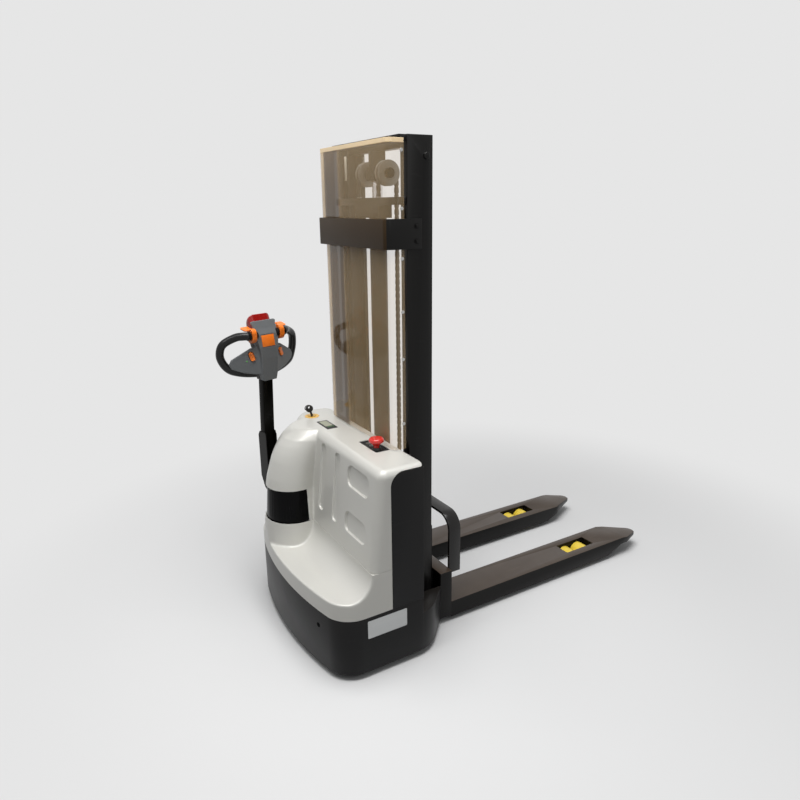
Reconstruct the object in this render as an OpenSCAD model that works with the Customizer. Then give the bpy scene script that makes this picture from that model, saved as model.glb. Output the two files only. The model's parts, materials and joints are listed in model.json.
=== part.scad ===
// Electric stacker: a walk-behind lift truck with a two-stage mast, a
// moulded power unit, a steered drive wheel under its tiller and two forks
// that straddle the load legs.
// Lengths are millimetres. X points to the right of a person behind the
// machine, Y points forward along the forks and Z points up. The origin is
// on the floor in the middle plane, just ahead of the mast.

/* [Chassis] */
// Half of the width over the skirt
half_w = 414; // [400:1:440]
// From the origin back to the rearmost point of the skirt
tail_len = 540; // [530:1:580]
// Radius of the bowed rear wall
bow_r = 1460; // [1200:10:2000]
// Radius of the two rear corners
tail_corner_r = 110; // [90:1:130]
// Radius of the bend where the side turns in towards the forks
toe_bend_r = 150; // [130:1:170]
// From the origin back to the start of that bend
toe_bend_back = 165; // [150:1:180]
// Ground clearance below the skirt
clearance = 25; // [20:1:32]
// Height of the joint line between skirt and covers
skirt_top = 253; // [245:1:262]
// Thickness of the skirt plate
skirt_t = 6; // [5:0.5:8]
// Thickness of the deck plate inside the skirt
deck_t = 8; // [6:0.5:10]
// How far the top of the deck lies below the joint line
deck_drop = 5; // [3:0.5:8]
// Height of the toe boxes beside the forks
toe_top = 188; // [170:1:200]
// Gap between a toe box and the fork beside it
toe_gap = 1; // [1:0.5:4]
// Least gap between a toe box and the mast
toe_mast_gap = 24; // [20:1:26]
// Height of the cross beam that carries the mast
beam_top = 70; // [60:1:72]
// From the origin back to the front face of the cross beam
beam_front_back = 12; // [8:1:20]
// Depth of the cross beam along the machine
beam_len = 122; // [112:1:126]

/* [Legs and load rollers] */
// Distance of the middle of a fork from the middle plane
fork_x = 214; // [212:1:215]
// Width of a support leg
leg_w = 116; // [112:1:118]
// Underside of a support leg
leg_bottom = 22; // [20:1:26]
// Top of a support leg
leg_top = 78; // [74:1:80]
// Front end of a support leg
leg_end = 985; // [970:1:995]
// Diameter of a load roller
roller_d = 80; // [76:1:80]
// Width of a load roller
roller_w = 70; // [64:1:72]
// Width of the slot in the leg round the rollers
roller_slot_w = 74; // [74:1:78]
// Position of the rear load roller along the fork
roller_y = 815; // [810:1:822]
// Distance between the two load rollers of one leg
roller_pitch = 84; // [82:1:88]
// Radius of a load roller's axle
axle_r = 10; // [8:0.5:12]

/* [Forks] */
// Width of a fork
fork_w = 152; // [150:1:153]
// Height of the fork's top face when lowered
fork_top = 92; // [90:1:96]
// Lower edge of the fork's side walls
fork_skirt = 20; // [18:1:22]
// Plate thickness of a fork
fork_t = 8; // [6:0.5:9]
// Front tip of a fork
fork_tip = 1240; // [1220:1:1260]
// Start of the nose taper on the inner side
nose_in = 1080; // [1060:1:1100]
// Start of the nose taper on the outer side
nose_out = 1140; // [1120:1:1160]
// Radius of the fork's tip in plan
nose_r = 30; // [24:1:34]
// How far the tip lies outside the fork's middle
nose_shift = 18; // [10:1:24]
// Front end of the hollow below the fork
fork_hollow_end = 1000; // [996:1:1006]
// Thickness of the fork plate at its tip
nose_t = 14; // [12:1:20]
// Height of the underside of the tip
nose_low = 60; // [54:1:64]
// Width of the window over the rollers
window_w = 72; // [70:1:80]
// Rear edge of the window over the rollers
window_y = 772; // [766:1:774]
// Length of the window over the rollers
window_len = 170; // [168:1:176]
// Rear face of the fork's heel
heel_y = 20; // [20:1:24]
// Front face of the fork's heel
heel_front = 76; // [74:1:80]
// Top of the fork's heel
heel_top = 238; // [230:1:244]
// Thickness of the heel's cheek plates
heel_t = 12; // [10:0.5:14]

/* [Mast] */
// Half of the width over the outer mast
mast_half_w = 267; // [266:1:268]
// From the origin back to the rear face of the outer mast
mast_rear = 112; // [111:1:113]
// From the origin back to the front face of the outer mast
mast_front = 10; // [9:1:11]
// Height of the lowered mast
mast_top = 1900; // [1880:1:1940]
// Web thickness of the outer channel
outer_web = 10; // [9:0.5:11]
// Flange thickness of the outer channel
outer_flange = 12; // [11:0.5:12.5]
// Width of the outer channel across its flanges' tips
outer_lip = 45; // [42:1:46]
// Gap between the flanges of the two channels
flange_gap = 3; // [2.5:0.5:4]
// Gap between the webs of the two channels
web_gap = 7; // [6:0.5:8]
// Web and flange thickness of the inner channel
inner_t = 10; // [9:0.5:10.5]
// Width of the inner channel across its flanges' tips
inner_lip = 45; // [43:1:46]
// Clearance of the slide pads in their channel
pad_play = 0.3; // [0.2:0.1:0.6]
// Height of a slide pad
pad_h = 90; // [70:1:110]
// How far the inner mast stands above the cross beam
inner_lift = 10; // [8:1:14]
// How far the inner mast stays below the outer mast's top
inner_drop = 10; // [6:1:20]
// Height of the head beam of the inner mast
head_beam_h = 25; // [20:1:30]
// Stroke of the lift cylinder
stroke = 1250; // [1200:1:1260]

/* [Mast ties and chains] */
// Thickness of the ties across the outer mast
tie_t = 10; // [8:0.5:12]
// Height of the top tie
tie_h = 22; // [18:1:30]
// Distance of the ties behind the outer mast
tie_stand = 14; // [13:0.5:16]
// From the mast's top down to the underside of the anchor tie
anchor_drop = 223; // [216:1:230]
// Height of the anchor tie
anchor_h = 26; // [24:1:30]
// Distance of a chain from the middle plane
chain_x = 75; // [74:1:80]
// Width of a chain
chain_w = 16; // [12:1:18]
// Thickness of a chain
chain_t = 12; // [10:1:13]

/* [Lift cylinder] */
// From the origin back to the cylinder's axis
cyl_back = 78; // [77:1:79]
// Outer radius of the barrel
barrel_r = 32.5; // [30:0.5:34]
// Wall of the barrel
barrel_wall = 7.5; // [6:0.5:9]
// From the mast's top down to the top of the barrel
barrel_drop = 206; // [190:1:210]
// Radius of the piston rod
rod_r = 19; // [17:0.5:20]
// Running clearance of every shaft in its hole
run_gap = 0.05; // [0.03:0.01:0.09]
// From the mast's top down to the centre of the chain pulleys
pulley_drop = 113; // [106:1:120]
// Outer radius of a pulley
pulley_r = 45; // [42:1:45]
// Radius of a pulley's hub under the chain
pulley_hub_r = 31; // [29:1:33]
// Width of a pulley
pulley_w = 26; // [24:1:28]
// Radius of the pulleys' axle
pulley_axle_r = 12.5; // [11:0.5:14]
// Half of the crosshead's width
crosshead_half_w = 28; // [24:1:32]

/* [Carriage] */
// Thickness of the carriage's side plates
carriage_t = 12; // [10:0.5:13]
// Gap between side plate and inner channel
carriage_gap = 3; // [2:0.5:4]
// Underside of the carriage inside the mast
carriage_low = 116; // [114:1:122]
// Top of the carriage
carriage_top = 430; // [420:1:450]
// Play of a guide roller in its channel
roller_play = 0.5; // [0.4:0.1:0.9]
// Height of the lower guide rollers
guide_low = 158; // [154:1:170]
// Height of the upper guide rollers
guide_high = 392; // [380:1:400]
// Height of a carriage crossbar
crossbar_h = 80; // [70:1:90]
// Top of the hoop
hoop_top = 469; // [450:1:480]
// Half of the width over the hoop
hoop_half_w = 268; // [264:1:270]
// Width of the flat bar of the hoop
hoop_w = 57; // [52:1:60]
// Thickness of the flat bar of the hoop
hoop_t = 12; // [10:0.5:13]
// Outer radius of the hoop's bends
hoop_r = 70; // [60:1:80]
// Lower end of the hoop's legs
hoop_foot = 213; // [205:1:220]

/* [Power unit] */
// From the origin back to the front face of the power unit
front_back = 141; // [138:1:142]
// Top of the upper cover
cover_top = 800; // [790:1:815]
// Wall of the moulded covers
cover_wall = 4; // [3:0.5:5]
// Height of the joint between the covers
seam_z = 418; // [414:1:422]
// From the rearmost point of the skirt to the rear face at that joint
seam_in = 182; // [178:1:188]
// From the rearmost point of the skirt to the rear face at its top edge
brow_in = 221; // [214:1:228]
// Rounding of the cover's edges
edge_r = 32; // [26:1:36]
// Plan radius of the rear left corner
hip_r = 110; // [90:1:120]
// Plan radius of the front left corner
shoulder_r = 60; // [50:1:70]
// Height of the black side panels
panel_top = 787; // [775:1:790]
// From the rearmost point of the skirt to the rear edge of the side panels
panel_in = 263; // [256:1:270]
// Sheet thickness of the side panels and the bulkhead
panel_t = 3; // [2:0.5:4]
// Rounding of the side panel's upper rear corner
panel_r = 50; // [40:1:60]
// Width of the side panel's front return
panel_return = 30; // [24:1:40]
// Height of the tray's floor
tray_z = 320; // [310:1:330]
// From the rearmost point of the skirt to the start of the tray's curve
tray_in = 83; // [76:1:90]
// Depth of the two large recesses in the rear face
recess_depth = 8; // [5:0.5:10]
// Depth of the two upright flutes in the rear face
flute_depth = 6; // [3:0.5:8]
// Width of a flute
flute_w = 46; // [40:1:50]
// Play between the covers and the sheets that they meet
panel_play = 0.5; // [0.3:0.1:1]

/* [Guards and bracket] */
// From the origin back to the rear face of the upper guard
upper_guard_back = 190; // [184:1:194]
// From the origin back to the rear face of the lower guard
lower_guard_back = 178; // [172:1:182]
// From the origin back to the front ends of the guards' sides
guard_side_back = 125; // [124:1:130]
// Sheet thickness of the clear guards
guard_t = 4; // [3:0.5:5]
// Bend radius of the guards
guard_r = 22; // [16:1:30]
// Underside of the lower guard
lower_guard_z = 806; // [804:1:812]
// From the mast's top down to the underside of the mast bracket
bracket_drop = 369; // [360:1:380]
// Height of the mast bracket
bracket_h = 101; // [90:1:110]
// From the origin back to the rear face of the bracket
bracket_back = 202; // [198:1:206]
// Plate thickness of the bracket
bracket_t = 7; // [5:0.5:8]
// From the origin back to the front ends of the bracket's sides
bracket_front_back = 58; // [50:1:70]
// From the mast's top down to the top of the upper guard
guard_drop = 12; // [8:1:30]

/* [Steering] */
// Distance of the steering axis left of the middle plane
steer_left = 217; // [210:1:224]
// From the rearmost point of the skirt to the steering axis
steer_in = 141; // [138:1:148]
// Angle of the tiller at rest, zero being straight back
steer_rest = -75; // [-75:1:-60]
// Radius of the drive wheel
drive_r = 105; // [100:1:108]
// Width of the drive wheel
drive_w = 70; // [64:1:72]
// Thickness of the drive wheel's tread
tread_t = 18; // [12:1:24]
// Radius of the drive wheel's axle
drive_axle_r = 14; // [12:0.5:16]
// Radius of the turntable's running face
table_r = 90; // [88:1:94]
// Height of the turntable ring
table_h = 12; // [10:1:14]
// Radius of the traction motor
motor_r = 55; // [50:1:55]
// Top of the traction motor
motor_top = 440; // [436:1:444]
// Radius of the column at its lower rim
column_r = 110; // [106:1:112]
// Height of the column's lower rim above the seam
band_h = 140; // [136:1:144]
// Radius of the lower cover's cone at the seam
cone_r = 121; // [118:1:122]
// How much wider the lower cover's cone is at the skirt
cone_flare = 18; // [12:1:20]
// Clearance between the steering band and the covers
band_gap = 2; // [1.5:0.5:3]
// Half of the width of the slot for the tiller arm
slot_half_w = 30; // [30:0.5:32]
// Distance of the tiller's pivot from the steering axis
pivot_n = 84; // [82:1:85]
// Height of the tiller's pivot
pivot_z = 512; // [508:1:516]
// Radius of the tiller's pivot pin
pivot_r = 7; // [6:0.5:8]
// Width of the tiller arm
arm_w = 50; // [46:1:52]
// Thickness of the tiller arm
arm_t = 32; // [28:1:34]

/* [Tiller head] */
// Height of the head's neck
neck_z = 984; // [976:1:990]
// Height of the head's crown
crown_z = 1258; // [1250:1:1264]
// Distance of the control face from the steering axis
face_n = 100; // [98:1:104]
// Radius of the grip tubes
grip_r = 15; // [13:0.5:17]
// Play round the buttons in their pockets
button_play = 0.4; // [0.3:0.1:0.8]
// Travel of the belly switch
belly_travel = 8; // [5:1:9]

/* [Caster] */
// From the right side of the skirt in to the caster's swivel axis
caster_in = 164; // [160:1:174]
// Radius of the caster wheel
caster_r = 62; // [58:1:64]
// Width of the caster wheel
caster_w = 50; // [44:1:54]
// Trail of the caster wheel behind its swivel axis
caster_trail = 32; // [28:1:34]
// Radius of the caster's kingpin
kingpin_r = 12; // [10:0.5:14]

/* [Inside the power unit] */
// Height of one battery block
battery_h = 210; // [180:1:215]
// Distance of the battery blocks from the middle plane
battery_x = 120; // [110:1:140]
// Space beside the blocks, up to the outside of the side panels
battery_side = 34; // [20:1:50]
// Space behind the blocks, up to the inside of the cover's top edge
battery_play = 7; // [4:1:20]
// Depth of the pump unit's block
pump_l = 150; // [130:1:155]
// Half of the pump unit's width
pump_half_w = 90; // [80:1:100]
// Gap between neighbouring blocks
block_gap = 0.3; // [0.2:0.1:1]

/* [Smoothness] */
// Facets of round parts
round_fn = 96; // [48:4:160]
// Facets of the rounded corners of the covers
soft_fn = 32; // [24:4:40]

/* [Hidden] */
nothing = 0.01;
cut = 1;
steer_back = tail_len - steer_in;
steer_x = -steer_left;
caster_right = half_w - caster_in;
steer_y = -steer_back;
deck_z = skirt_top - deck_drop - deck_t;
front_y = -front_back;
column_z = seam_z + band_h;
seam_back = tail_len - seam_in;
brow_back = tail_len - brow_in;
panel_back = tail_len - panel_in;
tray_back = tail_len - tray_in;

// Heights that hang from the mast's top
anchor_z = mast_top - anchor_drop;
barrel_top = mast_top - barrel_drop;
pulley_z = mast_top - pulley_drop;
bracket_z = mast_top - bracket_drop;
upper_guard_top = mast_top - guard_drop;

// Sides of the forks and of the toe boxes beside them
fork_x0 = fork_x - fork_w / 2;
fork_x1 = fork_x + fork_w / 2;
toe_x = max(fork_x1 + toe_gap, mast_half_w + toe_mast_gap);

// Channel sections of the mast
outer_in_x = mast_half_w - outer_web;
inner_out_x = outer_in_x - web_gap;
inner_in_x = inner_out_x - inner_t;
lip_x = inner_out_x - inner_lip;
inner_rear_y = -mast_rear + outer_flange + flange_gap;
inner_front_y = -mast_front - outer_flange - flange_gap;
track_rear_y = inner_rear_y + inner_t;
track_front_y = inner_front_y - inner_t;
track_y = (track_rear_y + track_front_y) / 2;
guide_r = (track_front_y - track_rear_y) / 2 - roller_play;
plate_x = lip_x - carriage_gap - carriage_t;
inner_z0 = beam_top + inner_lift;
inner_z1 = mast_top - inner_drop;

// Lift cylinder
cyl_y = -cyl_back;
bore_r = barrel_r - barrel_wall;
foot_h = 15;
gland_h = 34;
piston_z = beam_top + foot_h + 20;
crosshead_z = pulley_z - 25;
crosshead_top = pulley_z + 25;
chain_r = pulley_hub_r + chain_t / 2;
chain_lug_z = 350;
anchor_top = anchor_z + anchor_h;

// Outline of the chassis
bow_c = [0, bow_r - tail_len];
tail_c = [half_w - tail_corner_r,
          bow_c.y - sqrt(pow(bow_r - tail_corner_r, 2) - pow(half_w - tail_corner_r, 2))];
bow_a = asin((half_w - tail_corner_r) / (bow_r - tail_corner_r));
toe_c = [half_w - toe_bend_r, -toe_bend_back];

function arc(c, r, a0, a1, n) =
    [for (i = [0:n]) let (a = a0 + (a1 - a0) * i / n) c + r * [cos(a), sin(a)]];

function mirrored(p) = [for (i = [len(p) - 1:-1:0]) [-p[i].x, p[i].y]];

// Right half of the chassis outline, d millimetres inside the skirt
function right_half(d) =
    let (bend = toe_c + (toe_bend_r - d) * [cos(45), sin(45)])
    concat(arc(bow_c, bow_r - d, -90, -90 + bow_a, 8),
           arc(tail_c, tail_corner_r - d, -90 + bow_a, 0, 12),
           arc(toe_c, toe_bend_r - d, 0, 45, 8),
           [[toe_x, bend.y + bend.x - toe_x]]);

function outline(d) = concat(right_half(d), mirrored(right_half(d)));

// Shared shapes

module both_sides() {
    children();
    mirror([1, 0, 0]) children();
}

// A plan shape standing between two heights
module standing(z0, z1) translate([0, 0, z0]) linear_extrude(z1 - z0) children();

// A side view (Y, Z) widened along X between two places
module across(x0, x1) translate([x0, 0, 0]) rotate([90, 0, 90]) linear_extrude(x1 - x0) children();

module rod_x(r, x0, x1, fn = round_fn) translate([x0, 0, 0]) rotate([0, 90, 0]) cylinder(r = r, h = x1 - x0, $fn = fn);

module block(x, y, z) translate([x[0], y[0], z[0]]) cube([x[1] - x[0], y[1] - y[0], z[1] - z[0]]);

module at_steering() translate([steer_x, steer_y, 0]) rotate([0, 0, steer_rest]) children();

// Everything behind a place along Y
module behind(y) translate([-1500, y - 3000, -500]) cube([3000, 3000, 3000]);

// A post with a rounded rim, the corner of a moulded cover
module soft_post(r, f, z0, z1) {
    rim = min(f, r - 1);
    translate([0, 0, z0]) rotate_extrude($fn = soft_fn)
        polygon(concat([[0, 0], [r, 0]], arc([r - rim, z1 - z0 - rim], rim, 0, 90, 6), [[0, z1 - z0]]));
}

// Base frame: skirt, toe boxes, deck and the beam under the mast

module base_frame() color([0.15, 0.15, 0.15]) difference() {
    union() {
        intersection() {
            standing(clearance, skirt_top) difference() {
                polygon(outline(0));
                polygon(outline(skirt_t));
            }
            behind(front_y);
        }
        standing(deck_z, deck_z + deck_t) intersection() {
            polygon(outline(skirt_t - 1));
            translate([-half_w, -tail_len]) square([2 * half_w, tail_len - front_back]);
        }
        both_sides() toe_box();
        block([-half_w + skirt_t, half_w - skirt_t], [front_y - skirt_t, front_y], [clearance, deck_z + 1]);
        block([-toe_x, toe_x], [-beam_front_back - beam_len, -beam_front_back], [clearance, beam_top]);
        both_sides() block([toe_x - 60, toe_x], [front_y - 1, -beam_front_back - beam_len + 1], [clearance, beam_top]);
    }
    translate([0, steer_y, deck_z - cut]) {
        translate([steer_x, 0, 0]) cylinder(r = table_r - 10, h = deck_t + 2 * cut, $fn = round_fn);
        translate([caster_right, 0, 0]) cylinder(r = kingpin_r + run_gap, h = deck_t + 2 * cut, $fn = round_fn);
    }
}

// Box beside the fork, closed above
module toe_box() {
    intersection() {
        union() {
            standing(clearance, toe_top) difference() {
                polygon(outline(0));
                polygon(outline(skirt_t));
            }
            standing(toe_top - skirt_t, toe_top) polygon(outline(0));
        }
        block([toe_x, half_w + cut], [front_y - 1, 200], [0, toe_top + cut]);
    }
    intersection() {
        standing(clearance, toe_top) polygon(outline(1));
        block([toe_x, toe_x + skirt_t], [front_y - 1, 200], [0, toe_top + cut]);
    }
}

// Support legs with their load rollers

leg_x0 = fork_x - leg_w / 2;
leg_x1 = fork_x + leg_w / 2;
roller_z = roller_d / 2;
slot_y0 = roller_y - roller_d / 2 - 8;
slot_y1 = roller_y + roller_pitch + roller_d / 2 + 8;

module support_leg() difference() {
    block([leg_x0, leg_x1], [-beam_front_back, leg_end], [leg_bottom, leg_top]);
    block([fork_x - roller_slot_w / 2, fork_x + roller_slot_w / 2], [slot_y0, slot_y1],
        [leg_bottom - cut, leg_top + cut]);
    block([leg_x0 + fork_t, leg_x1 - fork_t], [-beam_front_back + 20, slot_y0 - 20],
        [leg_bottom - cut, leg_top - fork_t]);
    for (i = [0, 1]) translate([0, roller_y + i * roller_pitch, roller_z])
        rod_x(axle_r, leg_x0 - cut, leg_x1 + cut);
    block([leg_x0 - cut, leg_x1 + cut], [-beam_front_back - cut, -mast_front], [beam_top, leg_top + cut]);
}

module support_leg_right() color([0.13, 0.13, 0.13]) support_leg();
module support_leg_left() color([0.13, 0.13, 0.13]) mirror([1, 0, 0]) support_leg();

module roller_axles() color([0.7, 0.7, 0.7]) both_sides()
    for (i = [0, 1]) translate([0, roller_y + i * roller_pitch, roller_z]) rod_x(axle_r, leg_x0, leg_x1);

module load_roller(side, i) color([0.95, 0.82, 0.3]) translate([side * fork_x, roller_y + i * roller_pitch, roller_z])
    rotate([0, 90, 0]) difference() {
        rotate_extrude($fn = round_fn) polygon([[axle_r + run_gap, -roller_w / 2], [roller_d / 2 - 3, -roller_w / 2],
            [roller_d / 2, -roller_w / 2 + 3], [roller_d / 2, roller_w / 2 - 3],
            [roller_d / 2 - 3, roller_w / 2], [axle_r + run_gap, roller_w / 2]]);
    }

module load_roller_1() load_roller(-1, 0);
module load_roller_2() load_roller(-1, 1);
module load_roller_3() load_roller(1, 0);
module load_roller_4() load_roller(1, 1);

// Outer mast: two channels with their ties

module channel(x1, web, lip, y0, y1, flange) difference() {
    translate([x1 - lip, y0]) square([lip, y1 - y0]);
    translate([x1 - lip - cut, y0 + flange]) square([lip - web + cut, y1 - y0 - 2 * flange]);
}

module outer_mast() color([0.14, 0.14, 0.14]) {
    both_sides() {
        standing(beam_top, mast_top) channel(mast_half_w, outer_web, outer_lip, -mast_rear, -mast_front, outer_flange);
        for (z = [[mast_top - tie_h, mast_top], [anchor_z, anchor_top]])
            block([mast_half_w - outer_lip, mast_half_w - outer_web],
                [-mast_rear - tie_stand, -mast_rear + nothing], z);
        translate([0, -mast_rear / 3, mast_top - 66]) rod_x(13, mast_half_w - nothing, mast_half_w + 8, 6);
    }
    block([-mast_half_w + outer_web, mast_half_w - outer_web],
        [-mast_rear - tie_stand - tie_t, -mast_rear - tie_stand + nothing], [mast_top - tie_h, mast_top]);
}

// Anchor tie: clamps the cylinder and holds the rear ends of the chains
module cylinder_clamp() color([0.2, 0.2, 0.2]) difference() {
    union() {
        block([-mast_half_w + outer_lip + 1, mast_half_w - outer_lip - 1],
            [-mast_rear - tie_stand, -mast_rear], [anchor_z, anchor_top]);
        block([-chain_x - chain_w, chain_x + chain_w], [-mast_rear - tie_stand, cyl_y + 8],
            [anchor_z - 45, anchor_top]);
        translate([0, cyl_y, anchor_z - 45]) cylinder(r = barrel_r + 8, h = anchor_h + 45, $fn = round_fn);
    }
    translate([0, cyl_y, anchor_z - 46]) cylinder(r = barrel_r, h = anchor_h + 48, $fn = round_fn);
    both_sides() translate([mast_half_w - outer_lip - 10, -mast_rear - tie_stand / 2, anchor_z - cut])
        cylinder(r = 4, h = anchor_h + 2 * cut, $fn = soft_fn);
}

module lift_cylinder() color([0.16, 0.16, 0.16]) translate([0, cyl_y, 0]) difference() {
    union() {
        translate([0, 0, beam_top]) cylinder(r = barrel_r, h = barrel_top - beam_top, $fn = round_fn);
        translate([0, 0, beam_top]) cylinder(r = barrel_r + 1, h = foot_h, $fn = round_fn);
    }
    translate([0, 0, beam_top + foot_h])
        cylinder(r = bore_r, h = barrel_top - gland_h - beam_top - foot_h, $fn = round_fn);
    translate([0, 0, barrel_top - gland_h - cut])
        cylinder(r = rod_r + run_gap, h = gland_h + 2 * cut, $fn = round_fn);
}

module piston_rod() color([0.85, 0.85, 0.86]) translate([0, cyl_y, piston_z]) {
    cylinder(r = rod_r, h = crosshead_z - piston_z, $fn = round_fn);
    cylinder(r = bore_r - run_gap, h = 40, $fn = round_fn);
}

module crosshead() color([0.2, 0.2, 0.2]) {
    block([-crosshead_half_w, crosshead_half_w], [cyl_y - 30, cyl_y + 30], [crosshead_z, crosshead_top]);
    translate([0, cyl_y, pulley_z]) {
        rod_x(pulley_axle_r, -chain_x - pulley_w / 2 - 10, chain_x + pulley_w / 2 + 10);
        both_sides() {
            rod_x(20, crosshead_half_w - nothing, chain_x - pulley_w / 2 - 0.3);
            rod_x(18, chain_x + pulley_w / 2 + 0.3, chain_x + pulley_w / 2 + 10);
        }
    }
    block([-15, 15], [cyl_y - 27, cyl_y + 28], [crosshead_top - nothing, inner_z1 - head_beam_h]);
}

module pulley(side) color([0.62, 0.6, 0.57]) translate([side * chain_x, cyl_y, pulley_z]) rotate([0, 90, 0])
    rotate_extrude($fn = round_fn) polygon([[pulley_axle_r + run_gap, -pulley_w / 2], [pulley_r, -pulley_w / 2],
        [pulley_r, -pulley_w / 2 + 3], [pulley_hub_r, -pulley_w / 2 + 4.5], [pulley_hub_r, pulley_w / 2 - 4.5],
        [pulley_r, pulley_w / 2 - 3], [pulley_r, pulley_w / 2], [pulley_axle_r + run_gap, pulley_w / 2]]);

module pulley_left() pulley(-1);
module pulley_right() pulley(1);

// Chains: two strands behind, two in front and the turns over the pulleys

module strand(y, z0, z1) both_sides()
    block([chain_x - chain_w / 2, chain_x + chain_w / 2], [y - chain_t / 2, y + chain_t / 2], [z0, z1]);

module rear_chains() color([0.35, 0.34, 0.33]) strand(cyl_y - chain_r - 0.3, anchor_top, pulley_z);
module front_chains() color([0.35, 0.34, 0.33]) strand(cyl_y + chain_r + 0.3, chain_lug_z, pulley_z);

module chain_wraps() color([0.35, 0.34, 0.33]) both_sides() translate([chain_x, cyl_y, pulley_z]) rotate([90, 0, 90])
    translate([0, 0, -chain_w / 2]) linear_extrude(chain_w) intersection() {
        difference() {
            circle(r = chain_r + chain_t / 2 + 0.3, $fn = round_fn);
            circle(r = chain_r - chain_t / 2 + 0.3, $fn = round_fn);
        }
        translate([-100, 0]) square([200, 100]);
    }

// Inner mast

module inner_mast() color([0.14, 0.14, 0.14]) {
    both_sides() standing(inner_z0, inner_z1)
        channel(inner_out_x, inner_t, inner_lip, inner_rear_y, inner_front_y, inner_t);
    block([-inner_in_x, inner_in_x], [track_rear_y + 8, track_front_y - 8], [inner_z1 - head_beam_h, inner_z1]);
    block([-inner_in_x, inner_in_x], [track_front_y - 5, inner_front_y - 4], [inner_z0, inner_z0 + 30]);
}

module slide_pads(z) both_sides() {
    block([inner_out_x - 40, inner_out_x - 6], [-mast_rear + outer_flange, inner_rear_y - pad_play], z);
    block([inner_out_x - 40, inner_out_x - 6], [inner_front_y + pad_play, -mast_front - outer_flange], z);
    block([inner_out_x + pad_play, outer_in_x], [inner_rear_y + 12, inner_front_y - 12], z);
}

module upper_slide_pads() color([0.9, 0.9, 0.86]) slide_pads([mast_top - 40 - pad_h, mast_top - 40]);

module lower_slide_pads() color([0.9, 0.9, 0.86]) both_sides() {
    z = [inner_z0 + 4, inner_z0 + 4 + pad_h];
    block([inner_out_x - 40, inner_out_x - 6], [-mast_rear + outer_flange + pad_play, inner_rear_y], z);
    block([inner_out_x - 40, inner_out_x - 6], [inner_front_y, -mast_front - outer_flange - pad_play], z);
    block([inner_out_x, outer_in_x - pad_play], [inner_rear_y + 12, inner_front_y - 12], z);
}

// Carriage, forks and hoop

bar_y0 = -mast_front + 6;
bar_y1 = heel_y;

module fork_carriage() color([0.13, 0.13, 0.13]) {
    both_sides() {
        block([plate_x, plate_x + carriage_t], [track_rear_y + 4, bar_y1], [carriage_low, carriage_top]);
        block([fork_x - 34, fork_x + 12], [bar_y0, bar_y1], [leg_top + 14, carriage_top]);
        for (z = [guide_low, guide_high]) translate([0, track_y, z]) {
            rod_x(guide_r, lip_x + 4, inner_in_x - 2);
            rod_x(14, plate_x + carriage_t - nothing, lip_x + 4 + nothing);
        }
        block([chain_x - chain_w, chain_x + chain_w], [cyl_y + chain_r - chain_t, bar_y0 + 1],
            [chain_lug_z - 22, chain_lug_z]);
    }
    for (z = [carriage_low, carriage_top - crossbar_h])
        block([-fork_x - 12, fork_x + 12], [bar_y0, bar_y1], [z, z + crossbar_h]);
}

tip_c = [fork_x + nose_shift, fork_tip - nose_r];

// Angle at which the line from p touches a circle from its given side
function touch(p, c, r, side) = atan2(p.y - c.y, p.x - c.x) + side * acos(r / norm(p - c));

module fork_plan(d) polygon(concat(
    [[fork_x0 + d, heel_y - 100], [fork_x1 - d, heel_y - 100], [fork_x1 - d, nose_out]],
    arc(tip_c, nose_r - d, touch([fork_x1 - d, nose_out], tip_c, nose_r - d, 1),
        360 + touch([fork_x0 + d, nose_in], tip_c, nose_r - d, -1), 10),
    [[fork_x0 + d, nose_in]]));

module fork() {
    difference() {
        intersection() {
            standing(fork_skirt, fork_top) fork_plan(0);
            across(fork_x0 - cut, fork_x1 + cut) polygon([[heel_front, fork_skirt], [fork_hollow_end + 14, fork_skirt],
                [nose_in + 20, nose_low - 2], [fork_tip, nose_low], [fork_tip, nose_low + nose_t],
                [nose_in + 30, fork_top], [heel_front, fork_top]]);
        }
        difference() {
            standing(0, fork_top - fork_t) fork_plan(fork_t);
            translate([0, fork_hollow_end, 0]) block([0, 500], [0, 500], [0, 200]);
        }
        block([fork_x - window_w / 2, fork_x + window_w / 2], [window_y, window_y + window_len],
            [fork_skirt, fork_top + cut]);
    }
    difference() {
        block([fork_x0, fork_x1], [heel_y, heel_front], [fork_skirt + 8, heel_top]);
        block([fork_x0 + heel_t, fork_x1 - heel_t], [heel_y - cut, heel_front - heel_t],
            [fork_skirt, heel_top - heel_t]);
        block([fork_x0 + heel_t, fork_x1 - heel_t], [heel_y - cut, heel_front + cut],
            [fork_skirt, fork_top - fork_t]);
    }
}

module fork_right() color([0.16, 0.15, 0.14]) fork();
module fork_left() color([0.16, 0.15, 0.14]) mirror([1, 0, 0]) fork();

module load_hoop() color([0.13, 0.13, 0.13]) translate([0, heel_front, 0]) rotate([90, 0, 0]) mirror([0, 0, 1])
    linear_extrude(hoop_w) difference() {
        hoop_shape(0);
        hoop_shape(hoop_t);
    }

// Front view of the hoop, open below
module hoop_shape(d) polygon(concat(
    [for (x = [-hoop_half_w + d, hoop_half_w - d]) [x, hoop_foot - (d > 0 ? cut : 0)]],
    arc([hoop_half_w - hoop_r, hoop_top - hoop_r], hoop_r - d, 0, 90, 10),
    arc([-hoop_half_w + hoop_r, hoop_top - hoop_r], hoop_r - d, 90, 180, 10)));

// Side panels and bulkhead

// Side view of a panel, grown by some play and drawn past its front and its foot
module panel_side(play, past) polygon(concat([[front_y + past, skirt_top - past], [front_y + past, panel_top + play]],
    arc([-panel_back + panel_r, panel_top - panel_r], panel_r + play, 90, 180, 8),
    [[-panel_back - play, skirt_top - past]]));

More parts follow.
